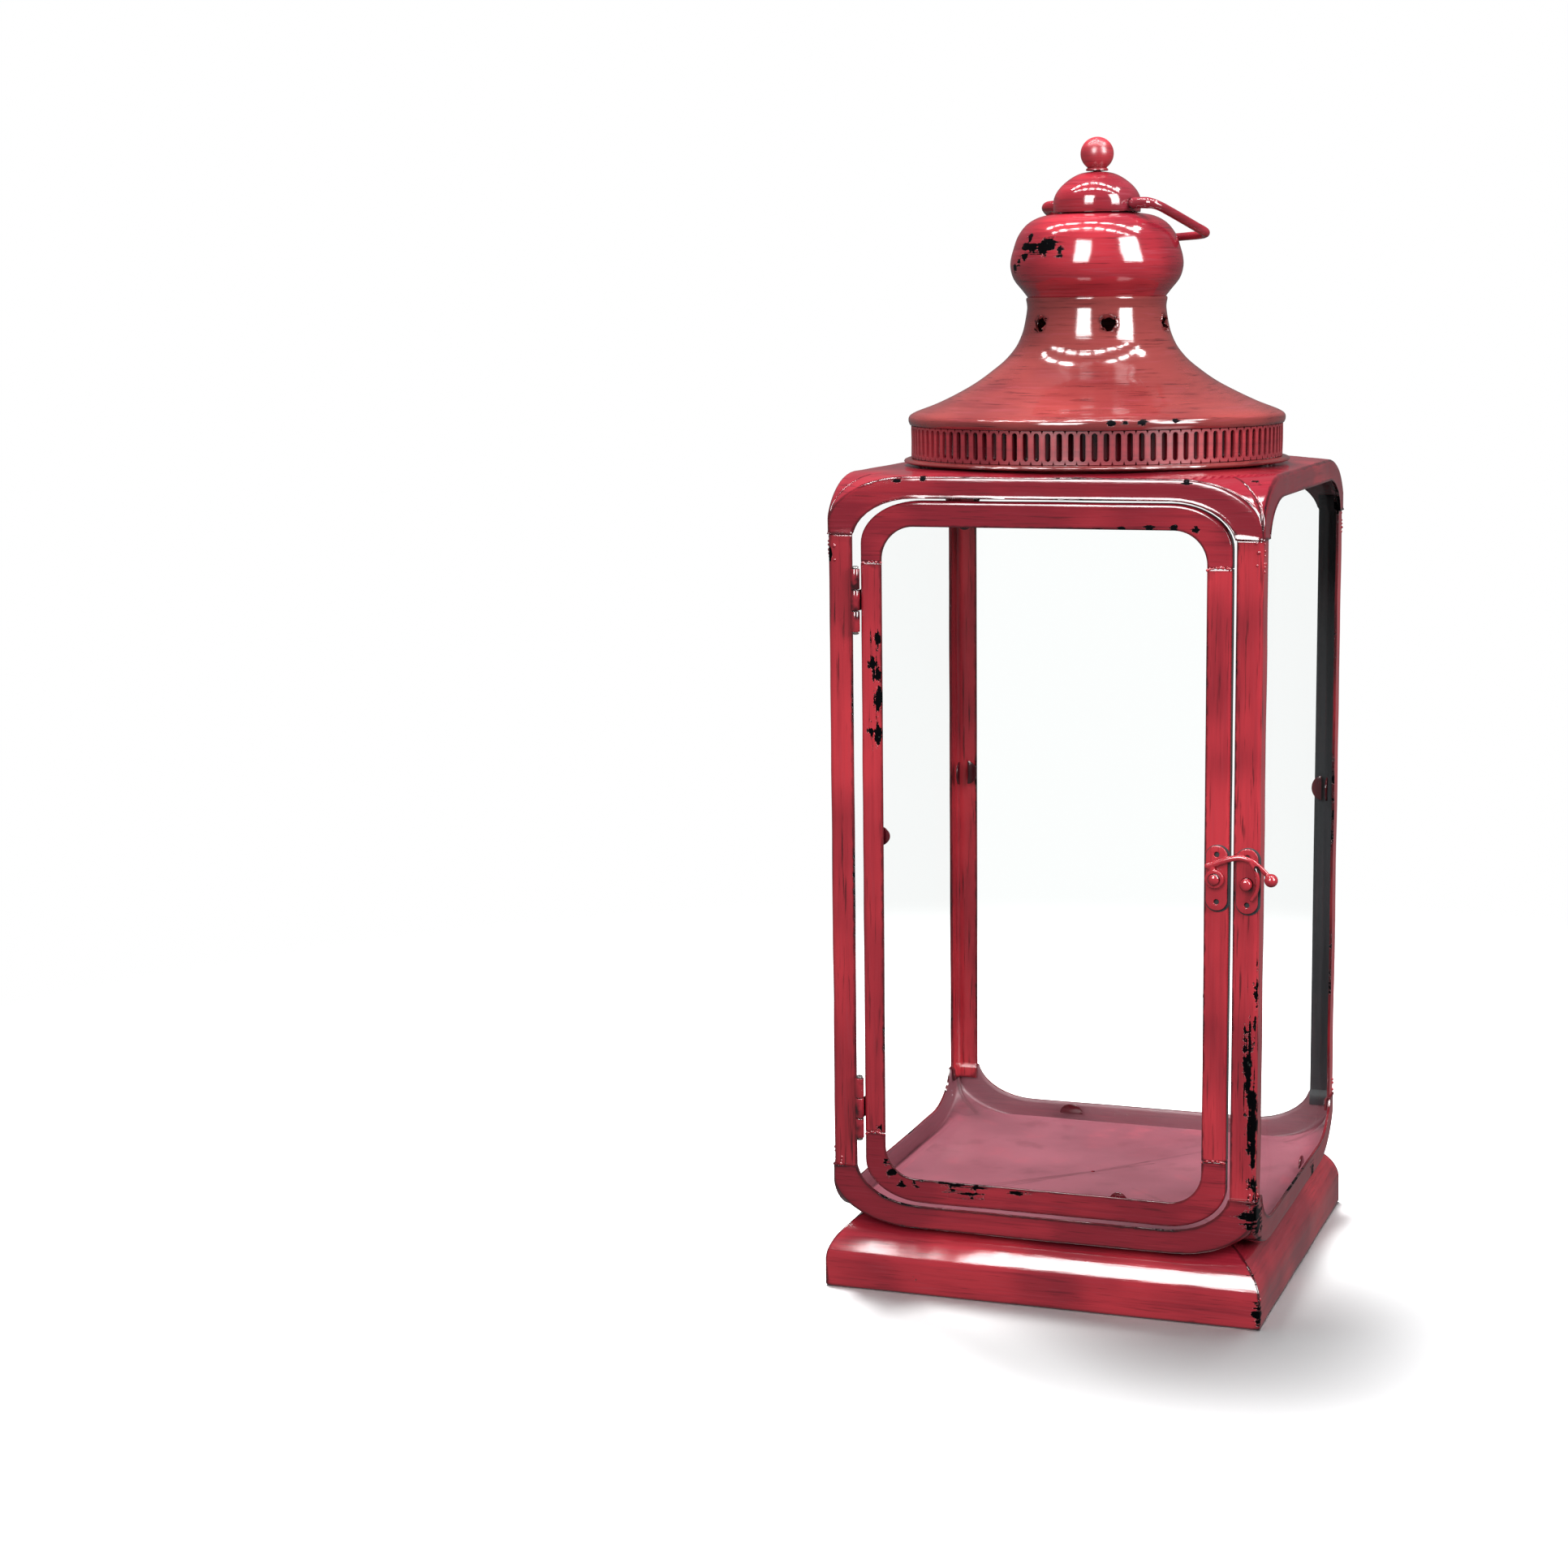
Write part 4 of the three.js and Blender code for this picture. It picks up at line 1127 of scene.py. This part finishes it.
def make_hinges():
    third = BARREL / 3
    leaf, tongue = 0.8, 0.7  # thickness of the hidden leaf, and of what joins it to the barrel
    edge = OPENING["x0"]
    behind = SHEET + GAP - POST_FACE
    start = HINGE_Y + 1.1
    for place, level in HINGE_LEVELS.items():
        low, high = level - BARREL / 2, level + BARREL / 2
        parts = [rolled_knuckle(level, 0), rolled_knuckle(level, 2)]
        parts.append(block(edge - 8, edge - 0.1, behind, behind + leaf, low, high))
        for z0, z1 in ((low, low + third - GAP / 2), (high - third + GAP / 2, high)):
            parts.append(block(edge + GAP, edge + GAP + tongue, start, behind + leaf / 2, z0, z1))
            parts.append(block(edge - 0.1, edge + GAP + tongue, behind, behind + leaf, z0, z1))
        closed_piece(f"hinge_{place}_post_leaf", parts, enamel_small, "lantern", bevel=0.12)
        face = DOOR["x0"] - GAP
        half = third / 2 - GAP / 2
        plate = block(face - tongue, face, start, DOOR_DEPTH - 1 - DOOR_FACE, level - half, level + half)
        parts = [rolled_knuckle(level, 1), plate]
        closed_piece(f"hinge_{place}_door_leaf", parts, enamel_small, "door", bevel=0.12)
        reach = BARREL / 2 + GAP
        section = [(0, -reach - 0.8), (0.9, -reach - 0.75), (1.5, -reach - 0.5), (1.6, -reach),
                   (1, -reach), (1, reach),
                   (1.6, reach), (1.5, reach + 0.5), (0.9, reach + 0.75), (0, reach + 0.8)]
        pin = moved(turned_solid(section, 20), lambda x, y, z, up=level: (x + HINGE_X, y + HINGE_Y, z + up))
        closed_piece(f"hinge_{place}_pin", [pin], steel, "lantern")


# ---- latch ----------------------------------------------------------------------------------------


def front_peg(section, x, z):
    """A turned peg that points to the front: its section is radius and distance forward."""
    return moved(turned_solid(section, 28), lambda px, py, pz: (x + px, -pz, z + py))


def make_latch():
    for name, x, z, body in (("latch_door_plate", LATCH_X + 0.5, LATCH_Z, "door"),
                             ("latch_post_plate", STUD_X, LATCH_Z - 0.8, "lantern")):
        outline = {"x0": x - PLATE_HALF, "x1": x + PLATE_HALF, "z0": z - 14.5, "z1": z + 14.5,
                   "a": PLATE_HALF, "b": PLATE_HALF}
        holes = [circle(x, z + rise, 1.2, 20) for rise in (-10.6, 10.6)]
        plate = flat_plate(name, [soft_rectangle(outline), *holes], -POST_FACE - GAP, PLATE_THICK, 0.25)
        finish_piece(plate, enamel_small, body, (name,))
        # A dark plate, a little larger than the latch plate and reaching further right and down, lies behind
        # it: a painted shadow.
        outline.update({"x0": x - 5.2, "x1": x + 5.9, "z0": z - 15.3, "z1": z + 14.8, "a": 5.3, "b": 5.3})
        shadow_plate = flat_plate(f"{name}_grime", [soft_rectangle(outline)], -POST_FACE - 0.04, 0.2, 0.05)
        finish_piece(shadow_plate, grime, body)
    foot = PLATE_FRONT + GAP
    head = LEVER_BACK + LEVER_THICK + GAP
    rivet = [(0, foot), (1.5, foot), (1.5, head), (2.6, head), (2.75, head + 0.25), (2.55, head + 0.8),
             (2.0, head + 1.3), (1.2, head + 1.65), (0, head + 1.8)]
    closed_piece("latch_pivot_rivet", [front_peg(rivet, LATCH_X, LATCH_Z)], enamel_small, "door")
    tip = LEVER_BACK + LEVER_THICK + 1.6
    stud = [(0, foot), (2.9, foot), (2.7, foot + 0.4), (2.6, tip - 1.2), (2.5, tip - 0.6), (2.0, tip - 0.15),
            (1.2, tip), (0, tip + 0.05)]
    closed_piece("latch_stud", [front_peg(stud, STUD_X, STUD_Z)], enamel_small, "lantern")
    make_lever()


def make_lever():
    """The cast lever: an eye, an arched arm that ends in a ball, and a claw round the stud, cast in one."""
    arm = [(-3.4, 5.4), (1.6, 7.4), (6.6, 9.2), (11.6, 9.9), (16.3, 8.6), (20.4, 5.8), (24.2, 2)]
    claw = [(16.2, 8), (18.6, 3.6), (19.4, -0.6), (18.6, -5), (16.4, -8.6)]
    neck = [(-1.2, 2), (-1.2, 6)]
    middle = -LEVER_BACK - LEVER_THICK / 2

    def limb(points, radius, taper=None):
        line = smooth_line([(LATCH_X + x, middle, LATCH_Z + z) for x, z in points], 6)
        return lattice(sweep_rows(line, radius, 14, 1.05 / radius, taper))

    eye = [(1.75, -1.0), (4.0, -1.0), (4.25, -0.5), (4.25, 0.5), (4.0, 1.0), (1.75, 1.0), (1.75, -1.0)]
    ball = [(3 * math.sin(math.radians(a)), -3 * math.cos(math.radians(a))) for a in range(0, 181, 12)]
    parts = [
        limb(arm, 1.3, lambda t, _: 1.12 - 0.25 * t),
        limb(claw, 1.0, lambda t, _: 1.1 - 0.3 * t),
        limb(neck, 1.5),
        moved(turned_solid(eye, 36), lambda x, y, z: (LATCH_X + x, middle + z, LATCH_Z + y)),
        moved(turned_solid(ball, 24), lambda x, y, z: (LATCH_X + 25.1 + x, middle + z, LATCH_Z + 0.6 + y)),
    ]
    obj = mesh_object("latch_lever", *joined(parts))
    clean(obj, SOLID_DOUBLES)
    melt(obj, 0.24, 0.6, 4)
    finish_piece(obj, enamel_small, "lever", ("latch_lever",), smooth=80)


# ---- chimney --------------------------------------------------------------------------------------


def make_foot_ring():
    bottom = GALLERY_LOW - GAP - 2.3
    bead = [(-3, 0), (2.2, 0), (3.1, 0.3), (3.5, 0.95), (3.1, 1.6), (2.2, 2.0), (0.6, 2.3), (-3, 2.3),
            (-3, 0)]
    section = [(GALLERY_RADIUS + out, bottom + up) for out, up in bead]
    closed_piece("gallery_foot_ring", [turned_solid(section, 144)], enamel_bell, "lantern")


def slot_cell():
    """One share of the slotted gallery wall: a flat net round a slot with round ends."""
    width = 2 * math.pi * GALLERY_RADIUS / SLOTS
    middle = (SLOT_LOW + SLOT_HIGH) / 2
    half_height = (SLOT_HIGH - SLOT_LOW) / 2
    r = SLOT_WIDTH / 2
    rows = []
    for k in range(28):
        angle = 2 * math.pi * k / 28
        c, s = math.cos(angle), math.sin(angle)
        slot = (r * c, middle + math.copysign(half_height - r, s) * (abs(s) > 0.01) + r * s)
        soft = ((r + 0.22) * c, slot[1] + 0.22 * s)
        scale = 1 / max(abs(c), abs(s))
        top = GALLERY_HIGH if s > 0 else GALLERY_LOW
        box = (width / 2 * c * scale, middle + (abs(top - middle)) * s * scale)
        rows.append([slot, soft, box])
    bent = []
    for row in rows:
        column = []
        for x, z in row:
            angle = x / GALLERY_RADIUS
            column.append((GALLERY_RADIUS * math.cos(angle), GALLERY_RADIUS * math.sin(angle), z))
        bent.append(column)
    return lattice(bent, wrap=True)


def repeat_tree():
    """Copies of the given piece, spaced evenly round Z and joined where they meet."""
    tree = Group("repeat_round", [("Count", "Int", SLOTS)])
    points = tree.node("GeometryNodePoints", None, {"Count": tree.given["Count"]}).outputs[0]
    index = tree.node("GeometryNodeInputIndex").outputs[0]
    count = tree.given["Count"]
    share = tree.node("ShaderNodeMath", {"operation": "DIVIDE"}, {0: index, 1: count}).outputs[0]
    turn = tree.node("ShaderNodeMath", {"operation": "MULTIPLY"}, {0: share, 1: 2 * math.pi}).outputs[0]
    angles = tree.node("ShaderNodeCombineXYZ", None, {"Z": turn}).outputs[0]
    spread = tree.node("GeometryNodeInstanceOnPoints", None, {
        "Points": points, "Instance": tree.given["Geometry"], "Rotation": angles})
    return tree.done(spread.outputs[0], join=0.02)


def make_gallery():
    obj = mesh_object("vent_gallery", *slot_cell())
    grow(obj, repeat_tree(), {"Count": SLOTS, "Material": enamel_gallery})
    clean(obj, SHEET_DOUBLES, inside=(0, 0, (GALLERY_LOW + GALLERY_HIGH) / 2))
    wobble(obj, 0.25, 12, 6)
    finish_piece(obj, enamel_gallery, "lantern", ("vent_gallery",), wall=SHEET)


def turned_rows(outline, count, holes=(), turn=0.0):
    """Columns of a turned wall. holes lists (degrees, z, radius): the net parts round each of them."""
    levels = [(p.x, p.y) for p in smooth_line(outline, 5)]
    heights = [z for _, z in levels]
    radii = [r for r, _ in levels]

    def radius_at(z):
        return float(np.interp(z, heights, radii))

    rows = []
    for k in range(count):
        angle = 2 * math.pi * k / count + math.radians(turn)
        rows.append([(r, angle, z) for r, z in levels])
    for degrees, z0, hole in holes:
        centre = math.radians(degrees)
        reach = HOLE_NET * hole
        r0 = radius_at(z0)
        for row in rows:
            for j, (r, angle, z) in enumerate(row):
                side = (angle - centre + math.pi) % (2 * math.pi) - math.pi
                a, b = side * r0 / reach, (z - z0) / reach
                m = max(abs(a), abs(b))
                if m >= 1 or m == 0:
                    continue
                edge = 1 / HOLE_NET
                length = math.hypot(a, b)
                t = ramp((m - edge) / (1 - edge))
                ring = max(m, edge)
                ca, cb = a / length * ring, b / length * ring
                na, nb = ca + (a - ca) * t, cb + (b - cb) * t
                nz = z0 + nb * reach
                row[j] = (radius_at(nz), centre + na * reach / r0, nz)
    return [[(r * math.cos(a), r * math.sin(a), z) for r, a, z in row] for row in rows]


def open_holes(obj, holes):
    """Takes out the faces that lie inside each hole of a turned wall."""
    bm = bmesh.new()
    bm.from_mesh(obj.data)
    gone = []
    for face in bm.faces:
        centre = face.calc_center_median() / MM
        for degrees, z0, hole in holes:
            angle = math.radians(degrees)
            r = math.hypot(centre.x, centre.y)
            side = (math.atan2(centre.y, centre.x) - angle + math.pi) % (2 * math.pi) - math.pi
            if math.hypot(side * r, centre.z - z0) < hole * HOLE_SHARE:
                gone.append(face)
                break
    bmesh.ops.delete(bm, geom=gone, context="FACES")
    bm.to_mesh(obj.data)
    bm.free()


def turned_piece(name, outline, count, material, holes=(), turn=0.0, uneven=0.2, seed=1, uneven_size=30):
    obj = mesh_object(name, *lattice(turned_rows(outline, count, holes, turn), wrap=True))
    clean(obj, SHEET_DOUBLES, inside=(0, 0, sum(z for _, z in outline) / len(outline)))
    if holes:
        open_holes(obj, holes)
    wobble(obj, uneven, uneven_size, seed)
    finish_piece(obj, material, "lantern", (name,), wall=SHEET, bevel=0.2)


def make_slot_shade_wall():
    """A dark wall just inside the slots, a dark piece standing in for the shade inside the gallery so that
    the slots look dark.
    """
    outer, low, high = GALLERY_RADIUS - 8, GALLERY_LOW - 2, GALLERY_HIGH + 3
    inner = outer - 0.7
    section = [(inner, low), (outer, low), (outer, high), (inner, high), (inner, low)]
    closed_piece("slot_shade_wall", [turned_solid(section, 96)], enamel_clip, "lantern", [])


def make_chimney():
    make_foot_ring()
    make_gallery()
    make_slot_shade_wall()
    bell = [(87.4, 399.8), (88, 401.4), (87.8, 403.4), (86, 405), (75, 409.4), (63.8, 414.7), (55.5, 419.3),
            (48.6, 424.2), (42.3, 429.4), (37.4, 435.4), (34.9, 440.6), (34.0, 443.3), (33.4, 446),
            (32.9, 448.7),
            (32.5, 451.4), (32.3, 453.6), (32.5, 455.6), (32.8, 457.3), (32.6, 458.0), (31.6, 458.4),
            (30.2, 458.6),
            (30.0, 461)]
    vents = [(VENT_TURN + 360 * k / VENT_HOLES, VENT_Z, VENT_RADIUS) for k in range(VENT_HOLES)]
    turned_piece("chimney_bell", bell, 216, enamel_bell, vents, uneven=0.3, seed=12)
    bulb = [(31.6, 457.6), (34.5, 461.3), (38.6, 466.6), (40.1, 471.7), (40, 475.6), (38.8, 480.3),
            (36.5, 486.6),
            (32.3, 491.9), (26.7, 495), (18.5, 496.6)]
    turned_piece("chimney_bulb", bulb, 120, enamel_bulb, seed=13, uneven_size=22)
    dome = [(20.1, 496.9), (20.3, 500), (20, 503.3), (18.8, 506.2), (16.2, 509.4), (11.6, 512.9),
            (7.4, 514.8),
            (2.2, 515.6)]
    pivots = [(BAIL_TURN, BAIL_Z, BAIL_WIRE + 0.35), (BAIL_TURN + 180, BAIL_Z, BAIL_WIRE + 0.35)]
    turned_piece("cap_dome", dome, 120, enamel_bulb, pivots, turn=BAIL_TURN, uneven=0.12, seed=14,
                 uneven_size=16)


def make_finial():
    section = [(0, 508.5), (1.8, 508.5), (1.8, 515.9), (4.9, 515.9), (5.2, 516.1), (5.15, 516.5),
               (4.9, 516.9),
               (4.4, 517.2)]
    start = math.asin(4.2 / BALL_RADIUS)
    for k in range(1, 25):
        angle = start + (math.pi - start) * k / 24
        section.append((BALL_RADIUS * math.sin(angle), BALL_Z - BALL_RADIUS * math.cos(angle)))
    section[-1] = (0, BALL_Z + BALL_RADIUS)
    closed_piece("finial_ball", [turned_solid(section, 48)], enamel_satin, "lantern")
    nut = frame["nodes"]["finial_nut"]
    nut.data.materials.clear()
    nut.data.materials.append(steel)


def boss(_, centre):
    """The bail's wire swells just outside the cap, and stays a little thicker along its sides."""
    across = abs(centre.x)
    if centre.y > SIDE_START:
        return 1 + SIDE_SWELL * ramp((SIDE_END - centre.y) / SIDE_FADE)
    rise = ramp((across - BOSS_START) / BOSS_RISE)
    fall = ramp((BOSS_END - across) / BOSS_FALL)
    return 1 + SIDE_SWELL * rise + BOSS_SWELL * min(rise, fall)


def make_bail():
    """One wire bent to a flat-bottomed loop, in its own plane, then turned and drooped into place."""
    half = [(14, 0), (21, 0), (28.5, 0), (32, 1.3), (33.9, 4.6), (34.8, 10), (36.6, 30), (37, 36.5),
            (34.4, 38.6),
            (22, 40.6)]
    route = [*half, (0, 42), *[(-x, y) for x, y in reversed(half)]]
    line = smooth_line(route, 8)
    rows = sweep_rows(line, BAIL_WIRE, 20, taper=boss)
    droop = Matrix.Rotation(math.radians(-BAIL_DROOP), 4, "X")
    place = Matrix.Translation((0, 0, BAIL_Z)) @ Matrix.Rotation(math.radians(BAIL_TURN), 4, "Z") @ droop
    points, faces = lattice(rows)
    closed_piece("bail_handle", [([place @ Vector(p) for p in points], faces)], enamel_bulb, "bail")


# ---- welds and solder -----------------------------------------------------------------------------


def bead_tree():
    """Uneven lumps along an edge: a flattened ball on each point, its size and place drawn at random."""
    tree = Group("weld_beads", [("Lump Radius", "Float", 0.9 * MM), ("Spacing", "Float", 0.9 * MM),
                                ("Flatness", "Float", 0.55), ("Seed", "Int", 3)])
    given = tree.given
    curve = tree.node("GeometryNodeMeshToCurve", None, {"Mesh": given["Geometry"]}).outputs[0]
    points = tree.node("GeometryNodeCurveToPoints", {"mode": "LENGTH"}, {
        "Curve": curve, "Length": given["Spacing"]}).outputs["Points"]
    shift = tree.node("FunctionNodeRandomValue", {"data_type": "FLOAT_VECTOR"}, {
        0: (-BEAD_SHIFT * MM,) * 3, 1: (BEAD_SHIFT * MM,) * 3, "Seed": given["Seed"]}).outputs[0]
    places = tree.node("GeometryNodeSetPosition", None, {"Geometry": points, "Offset": shift}).outputs[0]
    size = tree.node("FunctionNodeRandomValue", {"data_type": "FLOAT"}, {
        2: BEAD_SIZES[0], 3: BEAD_SIZES[1], "Seed": given["Seed"]}).outputs[1]
    flat = tree.node("ShaderNodeCombineXYZ", None, {"X": 1.0, "Y": given["Flatness"], "Z": 1.0}).outputs[0]
    scale = tree.node("ShaderNodeVectorMath", {"operation": "SCALE"}, {0: flat, "Scale": size}).outputs[0]
    ball = tree.node("GeometryNodeMeshIcoSphere", None, {
        "Subdivisions": 3, "Radius": given["Lump Radius"]}).outputs["Mesh"]
    spread = tree.node("GeometryNodeInstanceOnPoints", None, {
        "Points": places, "Instance": ball, "Scale": scale})
    return tree.done(spread.outputs[0])


def weld_runs(name, runs, material, body, radius, spacing, seed=3):
    """Weld or solder laid along each run of points, melted into one skin."""
    points, edges = [], []
    for run in runs:
        start = len(points)
        points += run
        edges += [(start + k, start + k + 1) for k in range(len(run) - 1)]
    obj = mesh_object(name, points, [], edges)
    grow(obj, bead_tree(), {
        "Lump Radius": radius * MM, "Spacing": spacing * MM, "Seed": seed, "Material": material})
    melt(obj, 0.22, 0.5, 2)
    obj.data.shade_smooth()
    store_edge_distance(obj.data, [])
    obj.data.materials.clear()
    obj.data.materials.append(material)
    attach(obj, body)


def make_welds():
    face = -DOOR_FACE + 0.15
    runs = []
    for z in DOOR_JOINTS:
        for x0, x1 in ((DOOR["x0"] + 0.8, WINDOW["x0"] - 0.4), (WINDOW["x1"] + 0.4, DOOR["x1"] - 0.8)):
            runs.append([(x0, face, z - 0.4), ((x0 + x1) / 2, face, z + 0.5), (x1, face, z - 0.1)])
    weld_runs("door_welds", runs, enamel_small, "door", radius=0.62, spacing=0.8)
    blobs = []
    for turns in range(4):
        for x, z0, z1 in ((-96.5, 340, 352), (96.8, 343, 352), (-96, 59, 64), (96.4, 59, 66)):
            run = [(x, 0.25 - POST_FACE, z0), (x + 0.8, 0.3 - POST_FACE, (z0 + z1) / 2),
                   (x - 0.3, 0.2 - POST_FACE, z1)]
            blobs.append([quarter_turned(p, turns) for p in run])
    weld_runs("body_solder", blobs, enamel_small, "lantern", radius=0.8, spacing=1.7, seed=8)
    corner = BASE_HALF - 1.0
    lips = [[quarter_turned((corner, -corner, z), turns) for z in (13.2, 14.6)] for turns in range(4)]
    weld_runs("base_solder", lips, enamel_base, "lantern", radius=0.95, spacing=1.2, seed=5)


# ---- studio ---------------------------------------------------------------------------------------


def area_light(name, place, target, width, height, watts):
    light = bpy.data.lights.new(name, "AREA")
    light.shape = "RECTANGLE"
    light.size, light.size_y = width, height
    light.energy = watts
    obj = bpy.data.objects.new(name, light)
    obj.location = place
    obj.rotation_euler = (Vector(target) - Vector(place)).to_track_quat("-Z", "Y").to_euler()
    obj.visible_camera = False
    bpy.context.scene.collection.objects.link(obj)
    return obj


def on_circle(degrees, distance, height):
    angle = math.radians(degrees)
    return distance * math.cos(angle), distance * math.sin(angle), height


def make_studio():
    rim = [(x, y, 0) for x, y in circle(0, 0, FLOOR_RADIUS, 96)]
    floor = mesh_object("studio_floor", rim, [tuple(range(len(rim)))])
    floor.data.materials.append(studio_floor("studio_floor"))
    floor.visible_glossy = floor.visible_diffuse = False  # the object is lit by the lamps and the room alone
    make_world()
    lamps = [
        area_light("softbox_left", on_circle(-98, 2.0, 1.3), LAMP_TARGET, 0.85, 1.3, 46),
        area_light("softbox_right", on_circle(-26, 2.0, 1.3), LAMP_TARGET, 0.9, 1.5, 58),
        area_light("lamp_corner", (1.2, 0.45, CEILING), (0, 0, 0.4), 0.35, 0.25, 9),
    ]
    for row, y in enumerate((-0.55, 0.15)):
        for k in range(8):
            x = -1.5 + 0.43 * k
            lamps.append(area_light(f"ceiling_{row}_{k}", (x, y, CEILING), (x, y, 0), 0.3, 0.085, 4.2))
    key = area_light("key_back", (-0.55, 0.7, CEILING), LAMP_TARGET, 0.8, 0.8, 120)
    key.visible_glossy = False  # it only throws the shadow
    floor_lamp = area_light("floor_lamp", (-0.25, 0.4, 2.4), LAMP_TARGET, 1.1, 1.1, 88)
    under = bpy.data.collections.new("lit_by_the_floor_lamp")
    under.objects.link(floor)
    floor_lamp.light_linking.receiver_collection = under
    lit = bpy.data.collections.new("lit_by_the_lamps")
    for obj in bpy.context.scene.objects:
        if obj.type == "MESH" and obj is not floor:
            lit.objects.link(obj)
    for lamp in lamps:
        lamp.light_linking.receiver_collection = lit
    bpy.context.scene.view_settings.view_transform = "Standard"


def make_world():
    """A white surround to look at, and a dimmer one to be lit by."""
    world = bpy.data.worlds.new("studio")
    world.use_nodes = True
    tree = Nodes(world.node_tree)
    seen = tree.node("ShaderNodeBackground", None, {"Color": (1, 1, 1, 1)})
    lighting = tree.node("ShaderNodeBackground", None, {"Color": (0.95, 0.97, 1.0, 1), "Strength": 0.16})
    path = tree.node("ShaderNodeLightPath")
    mix = tree.node("ShaderNodeMixShader", None, {
        0: path.outputs["Is Camera Ray"], 1: lighting.outputs[0], 2: seen.outputs[0]})
    tree.node("ShaderNodeOutputWorld", None, {"Surface": mix.outputs[0]})
    bpy.context.scene.world = world


# ---- assembly -------------------------------------------------------------------------------------

make_base()
make_body()
make_panes()
fixed_places = (36, -36, 215, 215)
make_clips("pane_clips", [(PANE, PANE_BACK, k, side, fixed_places)
                          for k, side in ((1, "right"), (2, "back"), (3, "left"))], "lantern", 5)
make_clips("door_clips", [(DOOR_PANE, DOOR_PANE_BACK, 0, "door", (36, -36, 215, 150))], "door", 10.5)
make_door()
make_hinges()
make_latch()
make_chimney()
make_finial()
make_bail()
make_welds()
make_studio()
